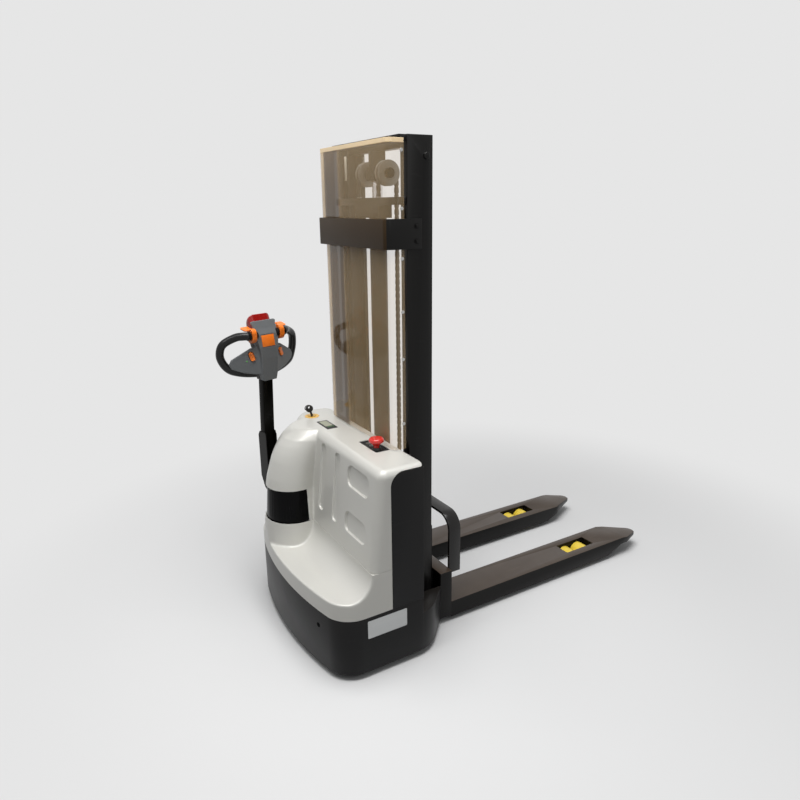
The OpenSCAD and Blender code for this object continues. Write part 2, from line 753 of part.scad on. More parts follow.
module side_panel() {
    across(half_w - panel_t, half_w) panel_side(0, 0);
    block([half_w - panel_return, half_w - panel_t + nothing], [front_y - panel_t, front_y], [skirt_top, panel_top]);
}

module side_panel_right() color([0.15, 0.15, 0.15]) side_panel();
module side_panel_left() color([0.15, 0.15, 0.15]) mirror([1, 0, 0]) side_panel();

// Five slots in each half let the warm air out
vent_z = panel_top - 187;
vent_pitch = 26;
vent_h = 8;
vent_x = 120;
vent_side = 94;

module front_bulkhead() color([0.18, 0.18, 0.18]) difference() {
    block([-half_w + panel_return, half_w - panel_return], [front_y - panel_t, front_y], [deck_z + deck_t, panel_top]);
    for (z = [vent_z:vent_pitch:vent_z + 4 * vent_pitch]) both_sides()
        block([vent_x, half_w - vent_side], [front_y - panel_t - cut, front_y + cut], [z, z + vent_h]);
}

// Upper cover: the rounded body, the leaning column and their recesses

// Solid body, d millimetres inside the outer face
module cover_body(d) hull() {
    top = cover_top - d;
    low = seam_z - (d > 0 ? cut : 0);
    for (c = [[half_w - edge_r, front_y - edge_r + 20, edge_r],
              [-half_w + shoulder_r, front_y - shoulder_r + 20, shoulder_r]])
        translate([c.x, c.y, 0]) soft_post(c.z - d, edge_r - d, low, top);
    for (c = [[half_w - edge_r, edge_r], [-half_w + hip_r, hip_r]]) {
        translate([c.x, -brow_back + c.y, 0]) soft_post(c.y - d, edge_r - d, cover_top - 2 * edge_r, top);
        translate([c.x, -seam_back + c.y, low]) cylinder(r = c.y - d, h = 1, $fn = soft_fn);
    }
}

// The column leans forward as it rises and widens into the body
lean = [[0, 0], [80, 20], [145, 45], [204, 84]];
column_top_lean = 118;

module column(d) hull() {
    for (p = lean) translate([steer_x, steer_y + p.y, column_z + p.x])
        cylinder(r = column_r - d, h = nothing, $fn = 2 * soft_fn);
    translate([steer_x, steer_y + column_top_lean, 0]) soft_post(column_r - d, 24, cover_top - 60, cover_top - d);
}

// The two cheeks go down on either side of the steering band
module cheek_cone(d) translate([steer_x, steer_y, seam_z])
    cylinder(r1 = cone_r - d, r2 = column_r - d, h = band_h + nothing, $fn = 2 * soft_fn);

module soft_pocket(x0, x1, z0, z1, r) hull() for (x = [x0 + r, x1 - r]) for (z = [z0 + r, z1 - r])
    translate([x, 0, z]) rotate([90, 0, 0]) cylinder(r = r, h = 40, center = true, $fn = soft_fn);

// Moves a pocket onto the leaning rear face
rear_lean = atan((seam_back - brow_back) / (cover_top - seam_z));
module on_rear_face(depth) translate([0, -seam_back + depth - 20, seam_z]) rotate([-rear_lean, 0, 0])
    translate([0, 0, -seam_z]) children();

// Two recesses beside each other's line and two flutes, d millimetres larger all round
recess_x = [174, 342];
recess_z = [[seam_z + 76, seam_z + 158], [cover_top - 126, cover_top - 44]];
flute_x = [-55, 70];
flute_z = [seam_z + 68, cover_top - 36];

module rear_pockets(d) {
    for (z = recess_z) on_rear_face(recess_depth + d)
        soft_pocket(recess_x[0] - d, recess_x[1] + d, z[0] - d, z[1] + d, 30 + d);
    for (x = flute_x) on_rear_face(flute_depth + d)
        soft_pocket(x - d, x + flute_w + d, flute_z[0] - d, flute_z[1] + d, 22 + d);
}

// Places of the fittings on the cover's top; the stop button stands just behind the guard
top_y = -(brow_back + front_back) / 2;
estop_head_r = 29;
estop_gap = 5;
estop_stem_r = 14;
estop_y = -lower_guard_back - estop_gap - estop_head_r;
recess_c = [164, estop_y + 7];
estop_x = recess_c.x + 31;
recess_half = [71, 31];
recess_drop = 10;
key_at = [-304, top_y - 27];
display_c = [-160, top_y - 21.5];
display_half = [55, 23.5];
fitting_play = 0.3;

// Recess of the emergency stop, d millimetres outside its own walls
module panel_recess(d) block([recess_c.x - recess_half.x - d, recess_c.x + recess_half.x + d],
    [recess_c.y - recess_half.y - d, recess_c.y + recess_half.y + d], [cover_top - recess_drop - d, cover_top + cut]);

module display_opening(d, z) block([display_c.x - display_half.x + d, display_c.x + display_half.x - d],
    [display_c.y - display_half.y + d, display_c.y + display_half.y - d], z);

module upper_cover() color([0.70, 0.71, 0.70]) difference() {
    union() {
        difference() {
            union() {
                cover_body(0);
                column(0);
                intersection() {
                    cheek_cone(0);
                    translate([steer_x - 200, steer_y + 22, seam_z]) cube([400, 200, band_h]);
                }
            }
            difference() {
                union() {
                    cover_body(cover_wall);
                    column(cover_wall);
                }
                rear_pockets(cover_wall);
                panel_recess(cover_wall);
            }
            cheek_cone(cover_wall);
            translate([steer_x - 200, steer_y - 178, seam_z - cut]) cube([400, 200, band_h + cut]);
        }
    }
    rear_pockets(0);
    block([-half_w - cut, half_w + cut], [front_y, 100], [0, cover_top + cut]);
    block([-half_w - cut, half_w + cut], [front_y - panel_t - panel_play, 100], [0, panel_top + panel_play]);
    both_sides() across(half_w - 20, half_w + cut) panel_side(panel_play, 200);
    panel_recess(0);
    translate([estop_x, estop_y, cover_top - 20]) cylinder(r = estop_stem_r + 2, h = 30, $fn = soft_fn);
    translate([key_at.x, key_at.y, cover_top - 20]) cylinder(r = key_barrel_r + fitting_play, h = 40, $fn = soft_fn);
    display_opening(0, [cover_top - 20, cover_top + cut]);
}

// Lower cover: skirt-wide rim, tray and the cone under the steering band

module tray_side(d) polygon(concat([[-tail_len - cut, skirt_top - cut], [-front_back, skirt_top - cut],
    [-front_back, seam_z + (d > 0 ? cut : 0)], [-seam_back + d, seam_z + (d > 0 ? cut : 0)]],
    arc([-tray_back, seam_z], seam_z - tray_z + d, 0, -90, 10),
    [[-tail_len - cut, tray_z - d]]));

module lower_body(d) {
    intersection() {
        standing(skirt_top, seam_z - (d > 0 ? -cut : 0)) polygon(outline(d));
        across(-half_w - cut, half_w + cut) tray_side(d);
    }
    intersection() {
        translate([steer_x, steer_y, skirt_top])
            cylinder(r1 = cone_r + cone_flare - d, r2 = cone_r - d, h = seam_z - skirt_top, $fn = round_fn);
        standing(skirt_top, seam_z) polygon(outline(d));
    }
}

module lower_cover() color([0.70, 0.71, 0.70]) difference() {
    lower_body(0);
    lower_body(cover_wall);
    translate([0, 0, -cut]) lower_body(cover_wall);
    translate([steer_x, steer_y, skirt_top]) cylinder(r = cone_r - cover_wall, h = 300, $fn = round_fn);
    block([-half_w - cut, half_w + cut], [-panel_back - panel_play, 300], [0, cover_top + 100]);
}

// Top fittings

key_barrel_r = 12.7;

module control_panel() color([0.1, 0.1, 0.1]) {
    difference() {
        block([recess_c.x - recess_half.x + fitting_play, recess_c.x + recess_half.x - fitting_play],
            [recess_c.y - recess_half.y + fitting_play, recess_c.y + recess_half.y - fitting_play],
            [cover_top - recess_drop, cover_top - recess_drop + 4]);
        translate([estop_x, estop_y, cover_top - 20]) cylinder(r = estop_stem_r + run_gap, h = 40, $fn = round_fn);
    }
    display_opening(fitting_play, [cover_top - cover_wall, cover_top + 2]);
}

module estop_button() color([0.85, 0.2, 0.15]) translate([estop_x, estop_y, 0]) {
    translate([0, 0, cover_top - 24]) cylinder(r = estop_stem_r, h = 48, $fn = round_fn);
    translate([0, 0, cover_top + 24]) rotate_extrude($fn = round_fn) polygon(concat([[0, 0], [22, 0]],
        arc([estop_head_r - 8, 8], 8, -60, 90, 8), [[0, 19]]));
}

module key_switch() color([0.75, 0.6, 0.25]) translate([key_at.x, key_at.y, 0]) difference() {
    union() {
        translate([0, 0, cover_top - 30]) cylinder(r = key_barrel_r, h = 32, $fn = round_fn);
        translate([0, 0, cover_top]) cylinder(r = 20, h = 3, $fn = round_fn);
    }
    translate([0, 0, cover_top - 18]) cylinder(r = 5 + run_gap, h = 40, $fn = round_fn);
}

module ignition_key() color([0.12, 0.12, 0.12]) translate([key_at.x, key_at.y, 0]) {
    translate([0, 0, cover_top - 18]) cylinder(r = 5, h = 24, $fn = round_fn);
    translate([0, 0, cover_top + 6]) block([-11, 11], [-2.5, 2.5], [0, 20]);
    translate([-10, 0, cover_top + 34]) rotate([90, 0, 0]) rotate_extrude($fn = round_fn)
        translate([12, 0]) circle(r = 2, $fn = 12);
}

// Guards and bracket

// Plan of a sheet bent round the back of the mast
module bent_sheet(hw, back, front, t, r) difference() {
    bent_plan(hw, back, front, r);
    bent_plan(hw - t, back - t, front - 1, r - t);
}

module bent_plan(hw, back, front, r) polygon(concat([[-hw, -front], [-hw, -back + r]],
    arc([-hw + r, -back + r], r, 180, 270, 8), arc([hw - r, -back + r], r, 270, 360, 8), [[hw, -front]]));

module upper_guard() color([0.72, 0.72, 0.68, 0.4]) standing(bracket_z + bracket_h, upper_guard_top)
    bent_sheet(mast_half_w, upper_guard_back, guard_side_back, guard_t, guard_r);

module lower_guard() color([0.72, 0.72, 0.68, 0.4])
    standing(lower_guard_z, bracket_z) bent_sheet(mast_half_w, lower_guard_back, guard_side_back, guard_t, guard_r);

module mast_bracket() color([0.2, 0.19, 0.18]) {
    standing(bracket_z, bracket_z + bracket_h)
        bent_sheet(mast_half_w + bracket_t, bracket_back, bracket_front_back, bracket_t, guard_r);
}

screw_heights = [lower_guard_z + 99, lower_guard_z + 341, lower_guard_z + 511, bracket_z - 31,
                 bracket_z + bracket_h + 33, upper_guard_top - 38];

module guard_screws() color([0.7, 0.7, 0.7]) both_sides() for (z = screw_heights)
    translate([0, -guard_side_back - 10, z]) rod_x(6, mast_half_w, mast_half_w + 3, 24);

// Inside the power unit

floor_z = deck_z + deck_t;
inside_y = front_y - panel_t - 4;

battery_rear = -brow_back + cover_wall + battery_play;

module battery_pack() color([0.2, 0.2, 0.22]) for (i = [0, 1])
    block([battery_x, half_w - battery_side], [battery_rear, inside_y],
        [floor_z + i * (battery_h + block_gap), floor_z + i * (battery_h + block_gap) + battery_h]);

pump_rear = max(inside_y - pump_l, battery_rear + 10);
pump_h = 170;

module pump_unit() color([0.25, 0.25, 0.26]) {
    block([-pump_half_w, pump_half_w], [pump_rear, inside_y], [floor_z, floor_z + pump_h]);
    translate([0, (pump_rear + inside_y) / 2, floor_z + pump_h - nothing])
        cylinder(r = (inside_y - pump_rear) / 2 - 18, h = 180, $fn = round_fn);
}

// Controller between the left side and the cone round the steering column
controller_x = [-half_w + battery_side, -230];
controller_rear = steer_y + cone_r + cone_flare + 42;
fin_t = 6;
fin_pitch = (controller_x[1] - controller_x[0] - fin_t) / 8;

module motor_controller() color([0.3, 0.3, 0.32]) {
    block(controller_x, [controller_rear, inside_y], [floor_z, floor_z + 12]);
    for (x = [controller_x[0]:fin_pitch:controller_x[1]])
        block([x, x + fin_t], [controller_rear, inside_y], [floor_z + 12 - nothing, floor_z + 60]);
    block(controller_x, [inside_y - 20, inside_y], [floor_z + 12 - nothing, floor_z + 200]);
}

// Turntable, drive unit and drive wheel

table_z = deck_z - table_h;
gear_x0 = drive_w / 2 + 5;
gear_x1 = 78;

module turntable_ring() color([0.5, 0.5, 0.5]) translate([steer_x, steer_y, table_z]) difference() {
    cylinder(r = table_r + 18, h = table_h, $fn = round_fn);
    translate([0, 0, -cut]) cylinder(r = table_r + run_gap, h = table_h + 2 * cut, $fn = round_fn);
}

module drive_unit() color([0.35, 0.36, 0.37]) at_steering() {
    translate([0, 0, table_z - 2]) cylinder(r = table_r, h = table_h + 1, $fn = round_fn);
    translate([0, 0, table_z]) cylinder(r = motor_r, h = motor_top - table_z, $fn = round_fn);
    translate([0, 0, well_z - 8]) cylinder(r = motor_r + 8, h = 8, $fn = round_fn);
    block([gear_x0, gear_x1], [-42, 42], [drive_r, table_z]);
    translate([0, 0, drive_r]) {
        rod_x(42, gear_x0, gear_x1);
        rod_x(drive_axle_r, -drive_w / 2, gear_x0 + 1);
    }
}

module drive_hub() color([0.6, 0.6, 0.6]) at_steering() translate([0, 0, drive_r]) rotate([0, 90, 0])
    rotate_extrude($fn = round_fn) polygon([[drive_axle_r + run_gap, -drive_w / 2], [40, -drive_w / 2],
        [44, -drive_w / 2 + 18], [drive_r - tread_t - 8, -drive_w / 2 + 18], [drive_r - tread_t - 4, -drive_w / 2],
        [drive_r - tread_t, -drive_w / 2], [drive_r - tread_t, drive_w / 2], [drive_axle_r + run_gap, drive_w / 2]]);

module drive_tyre() color([0.12, 0.12, 0.12]) at_steering() translate([0, 0, drive_r]) rotate([0, 90, 0])
    rotate_extrude($fn = round_fn) polygon([[drive_r - tread_t, -drive_w / 2], [drive_r - 5, -drive_w / 2],
        [drive_r, -drive_w / 2 + 5], [drive_r, drive_w / 2 - 5], [drive_r - 5, drive_w / 2],
        [drive_r - tread_t, drive_w / 2]]);

// Steering band: a glossy cone that turns with the tiller

band_r0 = cone_r - cover_wall - band_gap;
band_r1 = column_r - cover_wall - band_gap;
band_z0 = seam_z + 4;
band_z1 = column_z - 2;
well_z = motor_top - 38;

module steering_band() color([0.05, 0.05, 0.06]) at_steering() difference() {
    rotate_extrude($fn = round_fn) polygon([[motor_r + 1, well_z], [band_r0 - 5, well_z], [band_r0 - 3, band_z0],
        [band_r0, band_z0], [band_r1, band_z1], [band_r1 - 3, band_z1], [band_r0 - 6, band_z0 + 3],
        [band_r0 - 8, well_z + 4], [motor_r + 1, well_z + 4]]);
    block([-slot_half_w, slot_half_w], [-200, -60], [band_z0 + 4, band_z1 + cut]);
}

ear_x0 = slot_half_w - 1.2;
ear_x1 = ear_x0 + 8.5;

module tiller_bracket() color([0.4, 0.4, 0.4]) at_steering() {
    translate([0, 0, motor_top]) cylinder(r = motor_r - 5, h = 8, $fn = round_fn);
    for (s = [-1, 1]) difference() {
        across(s > 0 ? ear_x0 : -ear_x1, s > 0 ? ear_x1 : -ear_x0) ear_shape();
        translate([0, -pivot_n, pivot_z]) rod_x(pivot_r, -60, 60);
    }
}

ear_r = 12;

module ear_shape() polygon(concat([[0, motor_top + 7], [-18, motor_top + 7]],
    arc([-pivot_n, pivot_z], ear_r, 260, 20, 14)));

module tiller_pin() color([0.75, 0.75, 0.75]) at_steering()
    translate([0, -pivot_n, pivot_z]) rod_x(pivot_r, -ear_x1, ear_x1);

// Tiller arm and shroud, drawn in side view: outwards is -Y here

arm_top_n = 143;
arm_low_n = 158;
socket_z = neck_z + 20;

module tiller_arm() color([0.11, 0.10, 0.09]) at_steering() difference() {
    across(-arm_w / 2, arm_w / 2) polygon(concat(
        arc([-pivot_n, pivot_z], 20, 60, -120, 10),
        [[-139, 520], [-160, 560], [-arm_low_n - arm_t / 2, 720], [-arm_top_n - arm_t / 2, neck_z - 4],
         [-arm_top_n - arm_t / 2, socket_z], [-arm_top_n + arm_t / 2, socket_z], [-arm_top_n + arm_t / 2, neck_z - 4],
         [-arm_low_n + arm_t / 2, 720], [-128, 576], [-119, 545]]));
    translate([0, -pivot_n, pivot_z]) rod_x(pivot_r + run_gap, -60, 60);
}

module tiller_shroud() color([0.1, 0.1, 0.1]) at_steering() difference() {
    across(-arm_w / 2 - 3, arm_w / 2 + 3) polygon([[-130, 560], [-134, 486], [-150, 478], [-166, 492], [-187, 541],
        [-187, 735], [-177, 750], [-136, 750], [-130, 735]]);
    across(-arm_w / 2 - 0.02, arm_w / 2 + 0.02) polygon([[-100, 440], [-140, 519], [-161, 560],
        [-arm_low_n - 1 - arm_t / 2, 720], [-arm_low_n + 2 - arm_t / 2, 760], [-125, 760], [-127, 580], [-100, 520]]);
}

// Tiller head: a grey cover towards the operator, a black shell behind it

head_d1 = 36;
head_d2 = 64;
wing_a = 23.4;
wing_c = cos(wing_a);
drum_n = face_n + 17;
drum_z = 1178;
drum_r = 24;
drum_x0 = 57;
drum_x1 = 77;
cap_z = 1232;

module head_outline(g) polygon([[-30 + g, neck_z], [30 - g, neck_z], [39 - g, 1018], [41 - g, 1100], [54 - g, 1170],
    [56 - g, cap_z - 4], [-56 + g, cap_z - 4], [-54 + g, 1170], [-41 + g, 1100], [-39 + g, 1018]]);

// The wings sweep back to the grips; x runs along the wing
module wing_outline(g) polygon([for (p = [[30, 1140 - g], [44, 1134 - g], [146 - g, 1078 - g], [152 - g, 1066],
    [140 - g, 1050 + g], [105, 1036 + g], [68, 1028 + g], [30, 1024 + g]]) [(p.x - 30) / wing_c, p.y]]);

module on_wing() translate([30, -face_n - 6, 0]) rotate([0, 0, -wing_a]) children();

// Side view of the head between two depths behind the control face
module head_profile(d0, d1) across(-200, 200) polygon([[-face_n - d0 - (d0 > 0 ? 0 : 6), neck_z - 40],
    [-face_n - d0, 1080], [-face_n - d0, 1180], [-face_n - d0 - (d0 > 0 ? 0 : 8), crown_z + cut],
    [-face_n - d1, crown_z + cut], [-face_n - d1, neck_z - 40]]);

module head_layer(g, d0, d1) {
    intersection() {
        rotate([90, 0, 0]) linear_extrude(400) head_outline(g);
        head_profile(d0, d1);
    }
    both_sides() intersection() {
        on_wing() translate([0, -(d0 > 0 ? 22 : 0), 0]) rotate([90, 0, 0])
            linear_extrude(d0 > 0 ? 10 : 22) wing_outline(g);
        block([20, 300], [-face_n - 200, -face_n - (d0 > 0 ? d0 : 0)], [900, 1300]);
    }
}

module head_holes() {
    translate([0, -drum_n, drum_z]) both_sides() rod_x(grip_r + 0.2, 44, 80);
    block([-crown_half_w - button_play, crown_half_w + button_play], [-crown_n1 - button_play, -crown_n0 + button_play],
        [cap_z - 14, crown_z + 30]);
    both_sides() on_wing() translate([rocker_x, -rocker_depth, rocker_z])
        rod_x(rocker_r + button_play, -8 - button_play, 8 + button_play);
    block([-arm_w / 2, arm_w / 2], [-arm_top_n - arm_t / 2, -arm_top_n + arm_t / 2], [neck_z - 20, socket_z]);
}

rocker_x = 45;
rocker_z = 1092;
rocker_r = 12;
rocker_depth = 7;

module head_cover() color([0.36, 0.37, 0.38]) at_steering() difference() {
    head_layer(0, 0, head_d1);
    block([-30 - button_play, 30 + button_play], [-face_n - 4, 0], [1128, 1175 + button_play]);
    head_holes();
}

module head_shell() color([0.1, 0.1, 0.1]) at_steering() difference() {
    head_layer(1, head_d1, head_d2);
    head_holes();
}

module head_panel() color([0.88, 0.43, 0.12]) at_steering() block([-30, 30], [-face_n - 4, -face_n + 1], [1128, 1175]);

// Belly switch: the red crown of the head, rounded both ways
crown_half_w = 44;
crown_n0 = face_n + 8;
crown_n1 = face_n + 52;

module belly_switch() color([0.8, 0.12, 0.1]) at_steering() intersection() {
    low = cap_z - 14 + belly_travel;
    across(-crown_half_w, crown_half_w) polygon(concat([[-crown_n1, low], [-crown_n0, low]],
        arc([-(crown_n0 + crown_n1) / 2, crown_z - 60], 60, 68.5, 111.5, 10)));
    rotate([90, 0, 0]) linear_extrude(400) polygon(concat([[-crown_half_w, low], [crown_half_w, low]],
        arc([0, crown_z - 154], 154, 73.4, 106.6, 10)));
}

// Thumb levers of the throttle: a drum round each grip's root with a wing on top
module throttle_lever() color([0.88, 0.43, 0.12]) at_steering()
    translate([0, -drum_n, drum_z]) both_sides() difference() {
    union() {
        rod_x(drum_r, drum_x0, drum_x1);
        across(drum_x0 + 2, 104) polygon([[12, drum_r - 6], [-6, drum_r + 0.5], [-23, drum_r + 0.5],
            [-23, drum_r + 5], [-4, drum_r + 9], [13, drum_r + 4]]);
    }
    rod_x(grip_r + 0.3, drum_x0 - cut, drum_x1 + cut);
    block([drum_x1, 110], [-60, 60], [-60, drum_r + 0.5]);
}

module rocker(side) color([0.85, 0.42, 0.14]) at_steering() mirror([side > 0 ? 0 : 1, 0, 0]) on_wing()
    translate([rocker_x, -rocker_depth, rocker_z]) difference() {
        rod_x(rocker_r, -8, 8);
        translate([0, rocker_r + 22, 0]) rod_x(24, -9, 9);
    }
module rocker_left() rocker(-1);
module rocker_right() rocker(1);

// Grips: a tube swept round each loop of the tiller head

loop_pts = [[drum_x1 + 3.5, drum_n, drum_z], [101, 127, 1179], [128, 151, 1174], [174, 175, 1149], [186, 186, 1106],
            [176, 184, 1066], [150, 174, 1035], [109, 163, 1018], [72, 154, 1009], [42, 149, 1005]];

// Point on a smooth curve through the list, t counting its spans
function curve_at(p, t) =
    let (n = len(p) - 1, i = min(floor(t), n - 1), u = t - i,
         a = p[max(i - 1, 0)], b = p[i], c = p[i + 1], d = p[min(i + 2, n)])
    0.5 * (2 * b + (c - a) * u + (2 * a - 5 * b + 4 * c - d) * u * u + (3 * b - a - 3 * c + d) * u * u * u);

function unit(v) = v / norm(v);

module tube_along(path, r, sides, flat) {
    n = len(path);
    rings = [for (i = [0:n - 1]) let (t = unit(path[min(i + 1, n - 1)] - path[max(i - 1, 0)]),
        b = unit(cross(t, flat)), c = cross(b, t))
        for (k = [0:sides - 1]) path[i] + r * (cos(360 * k / sides) * b + sin(360 * k / sides) * c)];
    polyhedron(rings, concat(
        [[for (k = [sides - 1:-1:0]) k]],
        [for (i = [0:n - 2]) for (k = [0:sides - 1]) let (a = i * sides + k, b = i * sides + (k + 1) % sides)
            [a, b, b + sides, a + sides]],
        [[for (k = [0:sides - 1]) (n - 1) * sides + k]]));
}

loop_steps = 3;
loop_path = [for (i = [0:(len(loop_pts) - 1) * loop_steps])
    curve_at([for (q = loop_pts) [q.x, -q.y, q.z]], i / loop_steps)];

module hand_grips() color([0.12, 0.12, 0.13]) at_steering() both_sides() {
    tube_along(loop_path, grip_r, 12, [0, 1, 0.1]);
    translate([0, -drum_n, drum_z]) rod_x(grip_r, 46, drum_x1 + 7);
}

// Caster

module caster_fork() color([0.4, 0.4, 0.4]) translate([caster_right, steer_y, 0]) {
    translate([0, 0, 2 * caster_r + 30]) {
        cylinder(r = kingpin_r, h = floor_z + 6 - 2 * caster_r - 30, $fn = round_fn);
        cylinder(r = 46, h = deck_z - 0.3 - 2 * caster_r - 30, $fn = round_fn);
    }
    block([-caster_w / 2 - 9, caster_w / 2 + 9], [-caster_trail - 20, 30], [2 * caster_r + 14, 2 * caster_r + 31]);
    both_sides() difference() {
        block([caster_w / 2 + 2, caster_w / 2 + 9], [-caster_trail - 20, 20], [caster_r - 20, 2 * caster_r + 15]);
        translate([0, -caster_trail, caster_r]) rod_x(8, 0, 100);
    }
    translate([0, -caster_trail, caster_r]) rod_x(8, -caster_w / 2 - 9, caster_w / 2 + 9);
}

module caster_wheel() color([0.13, 0.13, 0.13])
    translate([caster_right, steer_y - caster_trail, caster_r]) rotate([0, 90, 0]) rotate_extrude($fn = round_fn) polygon([[8 + run_gap, -caster_w / 2], [20, -caster_w / 2], [20, -caster_w / 2 + 6],
        [caster_r - 16, -caster_w / 2 + 6], [caster_r - 14, -caster_w / 2], [caster_r - 5, -caster_w / 2],
        [caster_r, -caster_w / 2 + 5], [caster_r, caster_w / 2 - 5], [caster_r - 5, caster_w / 2],
        [caster_r - 14, caster_w / 2], [caster_r - 16, caster_w / 2 - 6], [20, caster_w / 2 - 6],
        [20, caster_w / 2], [8 + run_gap, caster_w / 2]]);

base_frame();
support_leg_left();
support_leg_right();
roller_axles();
outer_mast();
mast_bracket();
upper_guard();
lower_guard();
guard_screws();
side_panel_left();
side_panel_right();
front_bulkhead();
upper_cover();
lower_cover();
lift_cylinder();
cylinder_clamp();
battery_pack();
pump_unit();
motor_controller();
turntable_ring();
control_panel();
key_switch();
upper_slide_pads();
rear_chains();
ignition_key();
estop_button();
caster_fork();
caster_wheel();
drive_unit();
steering_band();
tiller_bracket();
tiller_pin();
drive_hub();
drive_tyre();
tiller_arm();
tiller_shroud();
head_shell();
head_cover();
hand_grips();
head_panel();
belly_switch();
throttle_lever();
rocker_left();
rocker_right();
inner_mast();
piston_rod();
crosshead();
pulley_left();
pulley_right();
lower_slide_pads();
chain_wraps();
front_chains();
fork_carriage();
fork_left();
fork_right();
load_hoop();
load_roller_1();
load_roller_2();
load_roller_3();
load_roller_4();
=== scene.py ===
"""Finished look of an electric stacker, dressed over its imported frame.

The frame gives every rigid part at its real size. Steel parts are taken over
from it with softened edges, moulded covers and the tiller head are modelled
again with rounded forms, and small fittings are added. Lengths are metres:
X to the right of a person behind the machine, Y forward along the forks and
Z up from the floor.
"""

from __future__ import annotations

import json
import logging
import math
from dataclasses import dataclass, field
from enum import Enum
from typing import Callable, Iterator, Sequence

import bmesh
import bpy
from mathutils import Matrix, Vector

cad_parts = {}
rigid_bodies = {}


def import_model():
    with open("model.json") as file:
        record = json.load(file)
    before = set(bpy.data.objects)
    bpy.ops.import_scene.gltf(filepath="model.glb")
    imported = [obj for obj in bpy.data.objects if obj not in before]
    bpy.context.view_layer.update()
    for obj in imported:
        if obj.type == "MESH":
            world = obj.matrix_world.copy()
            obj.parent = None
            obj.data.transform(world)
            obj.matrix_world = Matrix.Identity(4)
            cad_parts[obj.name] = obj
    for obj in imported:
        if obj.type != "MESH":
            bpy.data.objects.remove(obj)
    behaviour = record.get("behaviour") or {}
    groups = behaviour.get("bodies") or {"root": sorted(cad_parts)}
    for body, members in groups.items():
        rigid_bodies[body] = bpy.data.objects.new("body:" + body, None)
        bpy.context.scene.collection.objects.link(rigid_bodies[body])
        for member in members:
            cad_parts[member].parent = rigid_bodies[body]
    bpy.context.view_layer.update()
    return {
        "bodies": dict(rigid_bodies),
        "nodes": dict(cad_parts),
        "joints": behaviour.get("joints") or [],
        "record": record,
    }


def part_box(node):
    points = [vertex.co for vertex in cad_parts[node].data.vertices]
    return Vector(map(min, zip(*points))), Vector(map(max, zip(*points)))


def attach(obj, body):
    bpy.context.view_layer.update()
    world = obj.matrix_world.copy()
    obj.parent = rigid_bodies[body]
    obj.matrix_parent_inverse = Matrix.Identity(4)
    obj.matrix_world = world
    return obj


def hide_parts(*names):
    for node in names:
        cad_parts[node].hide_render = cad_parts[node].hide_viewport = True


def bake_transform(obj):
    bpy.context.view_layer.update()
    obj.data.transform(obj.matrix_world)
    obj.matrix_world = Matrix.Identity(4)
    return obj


log = logging.getLogger("stacker")

Point = tuple[float, float, float]
Colour = tuple[float, float, float]
Piece = bpy.types.Object
Tree = bpy.types.NodeTree
Socket = bpy.types.NodeSocket
Test = Callable[..., bool]

STEERING_X, STEERING_Y = -0.217, -0.399
TILLER_HEADING = math.radians(-75.0)
UP = Vector((0, 0, 1))
SIDES = (-1, 1)
FLAT = 0.99
NEAR = 0.0002
SKIN = 0.0006
SHARP = math.radians(30.0)
STEEL_ANGLE, COVER_ANGLE, MOULD_ANGLE, WELD_ANGLE = 32.0, 40.0, 50.0, 60.0


def linear(red: int, green: int, blue: int) -> Colour:
    """Turn a display colour of 0 to 255 into Blender's linear values."""
    shown = (value / 255.0 for value in (red, green, blue))
    return tuple(v / 12.92 if v <= 0.04045 else ((v + 0.055) / 1.055) ** 2.4 for v in shown)


def span(side: int, near: float, far: float) -> list[float]:
    """Order two distances from the middle plane on one side, low end first."""
    return sorted((side * near, side * far))


class Combine(Enum):
    """How a tool solid works on a piece."""

    CUT = "DIFFERENCE"
    JOIN = "UNION"
    KEEP = "INTERSECT"


class Treatment(Enum):
    """How a node of the frame is taken over, with the segments of its rounded edges."""

    MACHINED = 2
    FOLDED = 3
    MOULDED = 0


